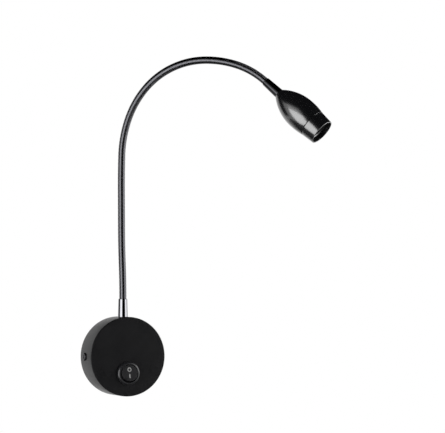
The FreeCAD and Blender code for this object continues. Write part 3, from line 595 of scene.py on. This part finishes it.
@dataclass
class WallBase(SubAssembly):
    """The round wall base, seen from outside.

    Attributes:
        radius: The cover's radius.
        wall: Its wall thickness.
        front: Its front thickness.
        edge: The rounding of its front rim.
        back_edge: The chamfer of its back rim.
        inner_edge: The rounding inside it, behind the front rim.
        land: The flat ring that is turned inside each rounding.
        sides: How many sides it has.
        switch_up: How high the switch's hole lies.
        switch_hole: The hole's radius.
        screw_radius: The side screws' head radius.
        screw_height: Their head height.
        shank_radius: Their shank radius.
        shank_length: How far they reach in.
        recess: Their recess from its mouth to its middle, as radii and depths.
    """

    radius: float = BASE_RADIUS
    wall: float = 1.5
    front: float = 2.0
    edge: float = 0.8
    back_edge: float = 0.25
    inner_edge: float = 0.6
    land: float = 0.3
    sides: int = 160
    switch_up: float = -16.8
    switch_hole: float = 10.1
    screw_radius: float = 4.0
    screw_height: float = 1.4
    shank_radius: float = 1.9
    shank_length: float = 7.0
    recess: tuple[RoundPoint, ...] = ((2.0, 0.0), (1.3, 0.55), (0.0, 0.9))

    def build(self) -> None:
        """Make the cover and its side screws."""
        self.build_cover()
        for side in (-1, 1):
            self.build_screw(side)

    def build_cover(self) -> None:
        """Turn the drawn cup, with a rolled front edge, and cut its front for the switch."""
        low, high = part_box("base_cover")
        radius, depth = self.radius, (high.y - low.y) / MM
        inner, back = radius - self.wall, depth - self.front
        outline = rounded([
            (inner - self.inner_edge - self.land, back), (inner, back, self.inner_edge),
            (inner, 0.0), (radius - self.back_edge, 0.0), (radius, self.back_edge),
            (radius, depth, self.edge), (radius - self.edge - self.land, depth),
        ])
        bm = lathe(scaled(outline), self.sides)
        holes = []
        for height in (back, depth):
            rim = [e for e in bm.edges if e.is_boundary
                   and abs(e.verts[0].co.z - height * MM) < 1e-6]
            place = Matrix.Translation((0, self.switch_up * MM, height * MM))
            made = bmesh.ops.create_circle(bm, segments=self.sides, matrix=place,
                                           radius=self.switch_hole * MM)
            hole = list({e for v in made["verts"] for e in v.link_edges})
            bmesh.ops.bridge_loops(bm, edges=rim + hole)
            holes += hole
        bmesh.ops.bridge_loops(bm, edges=holes)
        bmesh.ops.recalc_face_normals(bm, faces=bm.faces)
        self.shop.piece("cover_shell", bm, POWDER_COAT, "base_paint",
                        Matrix.Rotation(math.pi / 2, 4, "X"), "base", ["base_cover"])

    def build_screw(self, side: int) -> None:
        """Make one pan-head side screw with a dished recess.

        Args:
            side: One for the right side, minus one for the left.
        """
        low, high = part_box("cover_screws")
        middle = Vector((side * self.radius * MM, (low.y + high.y) / 2, (low.z + high.z) / 2))
        radius, height = self.screw_radius, self.screw_height
        shank, tip = self.shank_radius, -self.shank_length
        head = rounded([
            (0.0, tip), (shank, tip, 0.3), (shank, 0.0), (radius, 0.0), (radius, height, 0.6),
            *((reach, height - depth) for reach, depth in self.recess),
        ])
        bm = lathe(scaled(head), 48)
        place = Matrix.Translation(middle) @ Matrix.Rotation(side * math.pi / 2, 4, "Y")
        name = "side_screw_right" if side > 0 else "side_screw_left"
        self.shop.piece(name, bm, BLACK_OXIDE, "satin_steel", place, "base", ["cover_screws"])


@dataclass
class RockerSwitch(SubAssembly):
    """The round rocker switch. From the rocker's pivot, X is across, Y up and Z out of the base.

    Attributes:
        bezel_radius: The bezel's outer radius.
        bezel_proud: How far the bezel stands out of the base.
        bezel_edge: The rounding of its outer rim.
        opening: The radius of the hole that the rocker moves in.
        barrel: The radius of the barrel behind the bezel.
        floor: The thickness of the barrel's floor.
        rocker_radius: The rocker's radius.
        face: How far its face lies from the pivot.
        skirt: How far its skirt reaches back.
        hollow: The radius and height of its hollow back.
        dish_radius: The radius of the face's hollow, from top to bottom.
        dish_depth: The hollow's depth.
        rest_tilt: The rocker's tilt at rest, in degrees, with its top pressed in.
        ring_radius: The middle radius of the printed ring.
        ring_width: Its line width.
        ring_up: How high it lies.
        bar_size: The printed bar's width and height.
        bar_up: How high it lies.
        ink: The ink's thickness, half of it sunk into the face.
    """

    bezel_radius: float = 11.75
    bezel_proud: float = 3.7
    bezel_edge: float = 1.9
    opening: float = 9.1
    barrel: float = 10.0
    floor: float = 1.5
    rocker_radius: float = 8.3
    face: float = 3.6
    skirt: float = -2.0
    hollow: RoundPoint = (7.2, 1.6)
    dish_radius: float = 60.0
    dish_depth: float = 0.45
    rest_tilt: float = 10.5
    ring_radius: float = 1.75
    ring_width: float = 0.75
    ring_up: float = 3.45
    bar_size: tuple[float, float] = (1.05, 4.1)
    bar_up: float = -3.1
    ink: float = 0.06

    def build(self) -> None:
        """Make the housing, the rocker and its marks."""
        self.build_housing()
        self.build_rocker()
        self.build_ring_mark()
        self.build_bar_mark()

    def pivot(self) -> Matrix:
        """The switch's frame on the rocker's pivot."""
        joint = next(j for j in frame["joints"] if j["name"] == "rocker_tilt")
        return Matrix.Translation(joint["pos_m"]) @ Matrix.Rotation(math.pi / 2, 4, "X")

    def tilted(self) -> Matrix:
        """The rocker's frame at rest."""
        return self.pivot() @ Matrix.Rotation(math.radians(-self.rest_tilt), 4, "X")

    def build_housing(self) -> None:
        """Turn the bezel and the barrel behind it."""
        low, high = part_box("switch_housing")
        pivot_y = self.pivot().translation.y
        front, back = (pivot_y - low.y) / MM, (pivot_y - high.y) / MM
        seat, floor = front - self.bezel_proud, back + self.floor
        rim, opening = self.bezel_radius, self.opening
        outline = rounded([
            (0.0, back), (self.barrel, back, 0.5), (self.barrel, seat), (rim, seat),
            (rim, front, self.bezel_edge), (opening, front, 0.35), (opening, floor), (0.0, floor),
        ], 8)
        self.shop.piece("switch_bezel", lathe(scaled(outline), 128), SWITCH_NYLON,
                        "switch_plastic", self.pivot(), "base", ["switch_housing"])

    def dish(self, up: float) -> float:
        """The height of the rocker's dished face at a distance up it."""
        bottom = self.face - self.dish_depth
        return bottom + self.dish_radius - math.sqrt(self.dish_radius**2 - up**2)

    def build_rocker(self) -> None:
        """Turn the rocker's cap and press the dish into its face."""
        radius, (hollow, back), rings = self.rocker_radius, self.hollow, 14
        outline = rounded([
            (0.0, back), (hollow, back, 0.4), (hollow, self.skirt), (radius, self.skirt),
            (radius, self.face, 0.6), (0.0, self.face),
        ], 6)
        flat = outline[-2][0] - 0.2
        face = [(flat * (1 - i / rings), self.face) for i in range(rings + 1)]
        bm = lathe(scaled(outline[:-1] + face), 96)
        for vert in bm.verts:
            vert.co.z = min(vert.co.z, self.dish(vert.co.y / MM) * MM)
        self.shop.piece("rocker_cap", bm, ROCKER_NYLON, "rocker_plastic", self.tilted(),
                        "rocker", ["switch_rocker"])

    def print_mark(self, name: str, bm: bmesh.types.BMesh, up: float) -> None:
        """Lay a flat mark on the dished face, and give it an inked thickness.

        Args:
            name: The mark's name.
            bm: Its mesh, which is used up.
            up: How high its middle lies.
        """
        bmesh.ops.translate(bm, verts=bm.verts, vec=(0, up * MM, 0))
        for vert in bm.verts:
            vert.co.z = (self.dish(vert.co.y / MM) + self.ink / 2) * MM
        rim = bmesh.ops.extrude_face_region(bm, geom=list(bm.faces))
        lowered = [v for v in rim["geom"] if isinstance(v, bmesh.types.BMVert)]
        bmesh.ops.translate(bm, verts=lowered, vec=(0, 0, -self.ink * MM))
        bmesh.ops.recalc_face_normals(bm, faces=bm.faces)
        self.shop.piece(name, bm, PAD_PRINT, "rocker_plastic", self.tilted(), "rocker")

    def build_ring_mark(self) -> None:
        """Print the ring that stands for off."""
        half = self.ring_width / 2
        bm = bmesh.new()
        rims = []
        for radius in (self.ring_radius + half, self.ring_radius - half):
            made = bmesh.ops.create_circle(bm, segments=48, radius=radius * MM)
            rims += list({e for v in made["verts"] for e in v.link_edges})
        bmesh.ops.bridge_loops(bm, edges=rims)
        self.print_mark("off_mark", bm, self.ring_up)

    def build_bar_mark(self) -> None:
        """Print the bar that stands for on."""
        width, height = self.bar_size
        bm = bmesh.new()
        bmesh.ops.create_grid(bm, x_segments=2, y_segments=8, size=0.5)
        bmesh.ops.scale(bm, verts=bm.verts, vec=(width * MM, height * MM, 1))
        self.print_mark("on_mark", bm, self.bar_up)


@dataclass
class Gooseneck(NeckAssembly):
    """The wound hose between the ferrules.

    Attributes:
        crest: The radius over the turns.
        valley: The radius in the gaps between them.
        shoulder: How far a turn's edges lie under its crest.
        crown: How far a turn falls off beside its middle.
        bore: The bore's radius.
        bore_steps: How many rings the bore is cut into, so that it can bend.
        pitch: The length of a turn, whose ribs are drawn as rings.
        tail: How far the hose reaches into each ferrule.
        sides: How many sides the hose has.
    """

    crest: float = 3.75
    valley: float = 3.35
    shoulder: float = 0.08
    crown: float = 0.02
    bore: float = 2.2
    bore_steps: int = 12
    pitch: float = 1.4
    tail: float = 11.0
    sides: int = 40

    def build(self) -> None:
        """Make the hose from the middle of each arc to the next, smooth through each joint at rest.
        """
        marks = self.path.lengths()
        middles = [(a + b) / 2 for a, b in zip(marks, marks[1:])]
        bodies = self.path.bodies
        first = self.hose("hose_lower_end", -self.tail * MM, middles[0])
        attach(first, bodies[0])
        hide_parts("hose_segment_01")
        for i, (start, end) in enumerate(zip(middles, middles[1:])):
            hose = self.hose(f"hose_bend_{i + 1:02d}", start, end)
            tuple(self.path.frame_at(start).translation)
            tuple(self.path.frame_at(end).translation)
            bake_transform(hose)
            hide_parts(f"hose_segment_{i + 2:02d}")
        last = self.hose("hose_upper_end", middles[-1], marks[-1] + self.tail * MM)
        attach(last, bodies[-1])

    def hose(self, name: str, start: float, end: float) -> bpy.types.Object:
        """Wind one length of hose, with whole turns between its ends.

        Args:
            name: The piece's name.
            start: Where it starts along the neck, in metres.
            end: Where it ends.

        Returns:
            The piece, not yet on a body.
        """
        turns = round((end - start) / (self.pitch * MM))
        pitch = (end - start) / turns
        valley, edge, crown = self.valley, self.crest - self.shoulder, self.crest - self.crown
        # The share of a turn and the radius there: a gap, then a rib with a flat crest.
        shape = ((0.0, valley), (0.12, valley), (0.18, edge), (0.32, crown), (0.5, self.crest),
                 (0.68, crown), (0.82, edge), (0.88, valley))
        outline = [(radius * MM, start + (turn + share) * pitch)
                   for turn in range(turns) for share, radius in shape]
        outline.append((valley * MM, end))
        step = (end - start) / self.bore_steps
        inner = [(self.bore * MM, end - step * i) for i in range(self.bore_steps + 1)]
        bm = lathe(outline + inner, self.sides, closed=True)
        self.wrap(bm)
        return self.shop.piece(name, bm, BLACK_CHROME, "hose_metal", sharp=60.0)

    def wrap(self, bm: bmesh.types.BMesh) -> None:
        """Bend a straight mesh on Z, whose heights are distances along the neck, on to its path."""
        frames: dict[float, Matrix] = {}
        for vert in bm.verts:
            distance = round(vert.co.z, 7)
            if distance not in frames:
                frames[distance] = self.path.frame_at(distance)
            vert.co = frames[distance] @ Vector((vert.co.x, vert.co.y, 0.0))


@dataclass
class Ferrules(NeckAssembly):
    """The two plated ferrules at the gooseneck's ends.

    Attributes:
        base_radius: The radius of the base's rim, which the lower ferrule's foot fits.
        foot_radius: The lower ferrule's radius at its foot.
        top_radius: Its radius at its top.
        socket: The radius of both ferrules' sockets for the hose.
        upper_length: The upper ferrule's length.
        upper_radius: Its radius at the hose.
        head_radius: Its radius at the head.
        socket_depth: How deep the sockets are.
    """

    base_radius: float = BASE_RADIUS
    foot_radius: float = 4.95
    top_radius: float = 4.5
    socket: float = 3.8
    upper_length: float = UPPER_FERRULE_LENGTH
    upper_radius: float = 4.3
    head_radius: float = 5.0
    socket_depth: float = 3.0

    def build(self) -> None:
        """Make both ferrules."""
        self.build_lower()
        self.build_upper()

    def build_lower(self) -> None:
        """Turn the lower ferrule and fit its foot to the base's round rim."""
        low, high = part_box("lower_ferrule")
        foot, top = self.base_radius - 0.5, high.z / MM
        outline = rounded([
            (0.0, foot), (self.foot_radius, foot), (self.top_radius, top, 0.5),
            (self.socket, top, 0.3), (self.socket, top - self.socket_depth),
            (0.0, top - self.socket_depth),
        ])
        bm = lathe(scaled(outline), 96)
        for vert in bm.verts:
            if vert.co.z < (foot + 0.1) * MM:
                vert.co.z = math.sqrt((self.base_radius * MM) ** 2 - vert.co.x**2)
        place = Matrix.Translation((0, (low.y + high.y) / 2, 0))
        self.shop.piece("lower_sleeve", bm, NICKEL, "polished_ferrule", place, "base",
                        ["lower_ferrule"])

    def build_upper(self) -> None:
        """Turn the upper ferrule, which widens towards the head."""
        length = self.upper_length
        outline = rounded([
            (0.0, self.socket_depth), (self.socket, self.socket_depth),
            (self.socket, 0.0, 0.2), (self.upper_radius, 0.0, 0.4),
            (self.head_radius, length), (0.0, length),
        ])
        place = self.path.frame_at(self.path.lengths()[-1])
        self.shop.piece("upper_sleeve", lathe(scaled(outline), 96), DARK_NICKEL, "polished_ferrule",
                        place, "head", ["upper_ferrule"])


@dataclass
class LampHead(NeckAssembly):
    """The bullet-shaped head. A point is a radius and a height on its axis, from its rear face.

    Attributes:
        ferrule_length: The upper ferrule's length.
        rear_radius: The body's radius at its rear face.
        rear_curve: A point of its curve between there and the bulge.
        bulge: Its widest point.
        front_curve: A point of its curve between the bulge and the seam.
        seam: The seam between the body and the bezel.
        seam_depth: How deep the seam's groove is.
        seam_gap: How far the bezel stands off the body.
        rim: The bezel's rim.
        spigot: The radius of the bezel's spigot in the body.
        spigot_length: How far the spigot reaches back.
        body_bore: The radius that the body's front is closed at, behind the bezel.
        mouth_radius: The mouth's radius at the rim.
        mouth_step: The length of one of the mouth's fine steps.
        mouth_steps: How many it has.
        ledge: The mouth's ledge, at the foot of its chamfer.
        chamfer: The chamfer's size.
        lip: The lip over the lens.
        lens_front: The height of the lens's front.
        lens_back: The height of its back.
        lens_radius: The radius of its flange.
        lens_flange: The flange's thickness.
        lens_side: The radii of its side at the back and at the flange.
        lens_curve: A point of its side's curve.
        lens_hollow: The hollow over the emitter.
        lens_crown: How far the hollow's middle rises.
    """

    ferrule_length: float = UPPER_FERRULE_LENGTH
    rear_radius: float = 5.0
    rear_curve: RoundPoint = (12.1, 11.8)
    bulge: RoundPoint = (16.08, 32.5)
    front_curve: RoundPoint = (15.72, 39.5)
    seam: RoundPoint = (14.6, 46.2)
    seam_depth: float = 0.4
    seam_gap: float = 0.1
    rim: RoundPoint = (13.4, 59.6)
    spigot: float = 12.9
    spigot_length: float = 2.5
    body_bore: float = 13.2
    mouth_radius: float = 12.4
    mouth_step: float = 0.6
    mouth_steps: int = 5
    ledge: RoundPoint = (11.2, 53.6)
    chamfer: float = 0.8
    lip: RoundPoint = (10.3, 51.2)
    lens_front: float = 49.8
    lens_back: float = 40.6
    lens_radius: float = 11.0
    lens_flange: float = 1.5
    lens_side: tuple[float, float] = (3.4, 10.2)
    lens_curve: RoundPoint = (7.6, 44.6)
    lens_hollow: RoundPoint = (2.3, 42.2)
    lens_crown: float = 0.6

    def build(self) -> None:
        """Make the body, the bezel, its mouth and the lens."""
        self.build_body()
        self.build_bezel()
        self.build_mouth()
        self.build_lens()

    def place(self) -> Matrix:
        """The head's frame."""
        end = self.path.lengths()[-1]
        return self.path.frame_at(end + self.ferrule_length * MM)

    def build_body(self) -> None:
        """Turn the body's outside from two arcs, with an eased edge at the seam."""
        seam_r, seam_z = self.seam
        eased = (seam_r + 0.02, seam_z - 0.08)
        rear = arc_through((self.rear_radius, 0.0), self.rear_curve, self.bulge, 28)
        front = arc_through(self.bulge, self.front_curve, eased, 14)
        bore, floor = self.body_bore, seam_z - self.spigot_length - 0.5
        outline = [(0.0, 0.0), *rear, *front[1:], (seam_r - 0.03, seam_z - 0.02),
                   (seam_r - self.seam_depth, seam_z), (bore, seam_z), (bore, floor), (0.0, floor)]
        self.shop.piece("head_shell", lathe(scaled(outline), 128), ENAMEL, "head_finish",
                        self.place(), "head", ["head_body"])

    def build_bezel(self) -> None:
        """Turn the bezel's outside and its rolled rim."""
        (seam_r, seam_z), (rim_r, rim_z) = self.seam, self.rim
        mouth, groove = self.mouth_radius, seam_r - self.seam_depth
        back, seat = seam_z - self.spigot_length, seam_z + self.seam_gap
        outline = rounded([
            (self.spigot, back), (self.spigot, seat), (groove, seat), (seam_r - 0.02, seat + 0.12),
            (rim_r, rim_z, 0.45), (mouth, rim_z, 0.3), (mouth - 0.1, rim_z - 2.0),
            (mouth + 0.1, self.lens_front + 0.2), (mouth + 0.1, back),
        ])
        self.shop.piece("bezel_ring", lathe(scaled(outline), 128, closed=True), ENAMEL,
                        "head_finish", self.place(), "head", ["head_bezel"])

    def build_mouth(self) -> None:
        """Turn the black stepped mouth inside the bezel, down to the lens lip."""
        mouth, (ledge_r, ledge_z), (lip_r, lip_z) = self.mouth_radius, self.ledge, self.lip
        top, seat = self.rim[1] - 0.55, self.lens_front + 0.12
        outline: list[tuple[float, ...]] = [(mouth - 0.02, top)]
        for i in range(self.mouth_steps):
            radius, z = mouth - 0.12 - 0.03 * i, top - self.mouth_step * i
            outline += [(radius, z - 0.12), (radius, z - self.mouth_step)]
        wide, high = ledge_r + self.chamfer, ledge_z + self.chamfer
        outline += [(wide + 0.1, high), (wide, high, 0.1), (ledge_r, ledge_z, 0.1),
                    (ledge_r - 0.15, lip_z + 0.2), (lip_r, lip_z, 0.2), (lip_r, seat),
                    (mouth - 0.3, seat), (mouth - 0.2, top)]
        self.shop.piece("mouth_liner", lathe(scaled(rounded(outline)), 128, closed=True),
                        MOUTH_ANODISED, "head_finish", self.place(), "head")

    def build_lens(self) -> None:
        """Turn the collimating lens, with its flange and the hollow over the emitter."""
        front, back, flange = self.lens_front, self.lens_back, self.lens_front - self.lens_flange
        hollow_r, hollow_z = self.lens_hollow
        side = arc_through((self.lens_side[0], back), self.lens_curve,
                           (self.lens_side[1], flange), 12)
        outline = [(0.0, hollow_z + self.lens_crown), (hollow_r, hollow_z), (hollow_r, back), *side,
                   (self.lens_radius, flange), (self.lens_radius, front), (0.0, front)]
        self.shop.piece("collimator", lathe(scaled(outline), 96), ACRYLIC, "lens_acrylic",
                        self.place(), "head", ["lens"])


@dataclass
class Interior:
    """The pieces that keep their own shape and only get a finish."""

    finishes: dict[str, Finish]
    lead_finish: Finish = WIRE_PVC

    def dress(self) -> None:
        """Give every carried-over node its material."""
        for name, node in frame["nodes"].items():
            finish = self.finishes.get(name)
            if finish is None and name.startswith("lead_"):
                finish = self.lead_finish
            node.data.materials.clear()
            node.data.materials.append((finish or BLACK_CHROME).material())
        LOG.info("dressed %d carried-over pieces", len(frame["nodes"]))


# ---- studio


@dataclass
class Studio:
    """The floor, lamps, flags, world and camera. Lengths are in metres and angles in degrees.

    Attributes:
        eye: Where the camera stands.
        azimuth: How far its line of sight turns to the right of the wall's normal.
        pitch: How far it rises.
        focal_pixels: Its focal length, in pixels of the photograph.
        picture_width: The photograph's width, in pixels.
        sensor: The camera's sensor width, in millimetres.
        clip_end: How far the camera sees.
        floor_radius: The floor's radius.
        floor_height: Its height.
        floor_shade: Its colour.
        floor_roughness: Its roughness.
        floor_lift: How much it glows to the camera alone, which hides it on the white.
        lamp_distance: How far the softboxes hang from the lamp.
        ambient: The white world's level as a light.
    """

    eye: Vector = field(default_factory=lambda: Vector((-0.729823, -1.897508, 0.082647)))
    azimuth: float = 24.056
    pitch: float = 1.672
    focal_pixels: float = 1987.69
    picture_width: float = 445.0
    sensor: float = 36.0
    clip_end: float = 20.0
    floor_radius: float = 1.6
    floor_height: float = -0.7
    floor_shade: str = "#e9e9e8"
    floor_roughness: float = 0.9
    floor_lift: float = 0.4
    lamp_distance: float = 1.2
    ambient: float = 0.2

    def build(self) -> None:
        """Set up the whole studio."""
        bpy.context.scene.view_settings.view_transform = "Standard"
        self.build_camera()
        self.build_floor()
        self.build_world()
        self.build_lamps()

    def forward(self) -> Vector:
        """The camera's line of sight."""
        turn, rise = math.radians(self.azimuth), math.radians(self.pitch)
        return Vector((math.sin(turn) * math.cos(rise), math.cos(turn) * math.cos(rise),
                       math.sin(rise)))

    def build_camera(self) -> None:
        """Stand the camera where the photograph was taken."""
        data = bpy.data.cameras.new("camera")
        data.sensor_width = self.sensor
        data.lens = self.focal_pixels / self.picture_width * self.sensor
        data.clip_end = self.clip_end
        camera = bpy.data.objects.new("camera", data)
        camera.location = self.eye
        camera.rotation_euler = self.forward().to_track_quat("-Z", "Y").to_euler()
        bpy.context.scene.collection.objects.link(camera)
        bpy.context.scene.camera = camera

    def build_floor(self) -> None:
        """Lay a plain pale floor under the lamp, which to the camera fades into the white world."""
        paint = bpy.data.materials.new("pale_floor")
        paint.use_nodes = True
        tree = paint.node_tree
        shader = tree.nodes["Principled BSDF"]
        shader.inputs["Base Color"].default_value = srgb(self.floor_shade)
        shader.inputs["Roughness"].default_value = self.floor_roughness
        shader.inputs["Emission Color"].default_value = (1.0, 1.0, 1.0, 1.0)
        ray = add_node(tree, "LightPath")
        lift = add_node(tree, "Math", {0: ray.outputs["Is Camera Ray"], 1: self.floor_lift},
                        operation="MULTIPLY")
        tree.links.new(lift.outputs[0], shader.inputs["Emission Strength"])
        bm = bmesh.new()
        bmesh.ops.create_circle(bm, cap_ends=True, segments=96, radius=self.floor_radius)
        floor = mesh_object("floor", bm, paint)
        floor.location.z = self.floor_height

    def build_world(self) -> None:
        """Make the background white to the camera and in reflections, and dim as a light."""
        world = bpy.data.worlds.new("studio")
        world.use_nodes = True
        tree = world.node_tree
        tree.nodes.clear()
        ray = add_node(tree, "LightPath")
        seen = add_node(tree, "Math", {0: ray.outputs["Is Camera Ray"],
                                       1: ray.outputs["Is Glossy Ray"]}, operation="MAXIMUM")
        seen = add_node(tree, "Math", {0: seen.outputs[0], 1: ray.outputs["Is Transmission Ray"]},
                        operation="MAXIMUM")
        level = add_node(tree, "MapRange", {"Value": seen.outputs[0], "To Min": self.ambient,
                                            "To Max": 1.0})
        glow = add_node(tree, "Background", {"Color": (1, 1, 1, 1), "Strength": level.outputs[0]})
        add_node(tree, "OutputWorld", {"Surface": glow.outputs[0]})
        bpy.context.scene.world = world

    def bearing(self, degrees: float) -> Vector:
        """A level direction from the lamp.

        Args:
            degrees: How far it lies to the right of the camera.

        Returns:
            The direction.
        """
        turn = math.radians(self.azimuth - degrees)
        return Vector((-math.sin(turn), -math.cos(turn), 0.0))

    def spot(self, bearing: float, away: float, height: float) -> Vector:
        """A place on a bearing, a distance away from the lamp and at a height."""
        return self.bearing(bearing) * away + Vector((0.0, 0.0, height))

    def build_lamps(self) -> None:
        """Hang the softboxes on both sides, and flags that keep the front and the top dark."""
        self.softbox("left_softbox", bearing=-37.0, height=-0.1, size=(1.1, 1.1), level=4.5)
        self.softbox("left_wing", bearing=-37.0, height=0.71, size=(1.1, 0.5), level=0.9)
        self.softbox("right_softbox", bearing=85.0, height=0.32, size=(1.1, 0.8), level=3.8)
        self.softbox("top_softbox", bearing=None, height=1.7, size=(2.0, 2.0), level=3.0)
        self.flag("front_flag", self.spot(bearing=17.0, away=2.3, height=0.45), (4.0, 1.9))
        self.flag("side_flag", self.spot(bearing=-100.0, away=1.6, height=0.2), (0.9, 1.3))
        self.flag("top_flag", Vector((0.0, 0.0, 1.3)), (5.0, 5.0))
        self.flag("grey_card", Vector((-0.2, -0.2, self.floor_height + 0.01)), (2.6, 2.2),
                  "#4c4c4c", flat=True)

    def softbox(self, name: str, bearing: float | None, height: float, size: Sequence[float],
                level: float) -> None:
        """Hang one rectangular lamp, which faces the lamp's middle.

        Args:
            name: Its name.
            bearing: How far it hangs to the right of the camera, in degrees, or none for one
                that hangs overhead, looks down and stays out of reflections.
            height: The height of its middle.
            size: Its width and height.
            level: How bright its face is, where white paper is 1.
        """
        data = bpy.data.lights.new(name, "AREA")
        data.shape = "RECTANGLE"
        data.size, data.size_y = size
        data.energy = level * math.pi * size[0] * size[1]
        box = bpy.data.objects.new(name, data)
        box.location.z = height
        box.visible_camera = False
        box.visible_glossy = bearing is not None
        if bearing is not None:
            box.location = self.spot(bearing, self.lamp_distance, height)
            box.rotation_euler = (-self.bearing(bearing)).to_track_quat("-Z", "Y").to_euler()
        bpy.context.scene.collection.objects.link(box)

    def flag(self, name: str, place: Vector, size: Sequence[float], shade: str = "#060606",
             flat: bool = False) -> None:
        """Hang a dark flag that only shows in reflections and looks at the lamp.

        Args:
            name: Its name.
            place: Where it hangs.
            size: Its width and height.
            shade: Its colour.
            flat: Whether it lies level instead.
        """
        cloth = bpy.data.materials.new("matte_" + name)
        cloth.use_nodes = True
        shader = cloth.node_tree.nodes["Principled BSDF"]
        shader.inputs["Base Color"].default_value = srgb(shade)
        shader.inputs["Specular IOR Level"].default_value = 0.0
        bm = bmesh.new()
        bmesh.ops.create_grid(bm, x_segments=1, y_segments=1, size=0.5)
        bmesh.ops.scale(bm, verts=bm.verts, vec=(*size, 1.0))
        panel = mesh_object(name, bm, cloth)
        panel.location = place
        if not flat:
            panel.rotation_euler = place.to_track_quat("-Z", "Y").to_euler()
        for ray in ("camera", "diffuse", "shadow", "transmission", "volume_scatter"):
            setattr(panel, "visible_" + ray, False)


def main() -> None:
    """Build the lamp's looks and the studio round it."""
    logging.basicConfig(level=logging.INFO, format="%(name)s: %(message)s")
    Studio().build()
    shop = Workshop()
    path = NeckPath()
    Interior(CARRIED_FINISHES).dress()
    for part in (WallBase(shop), RockerSwitch(shop), Gooseneck(shop, path), Ferrules(shop, path),
                 LampHead(shop, path)):
        part.build()
    LOG.info("made %d pieces", len(shop.made))


if __name__ == "__main__":
    main()
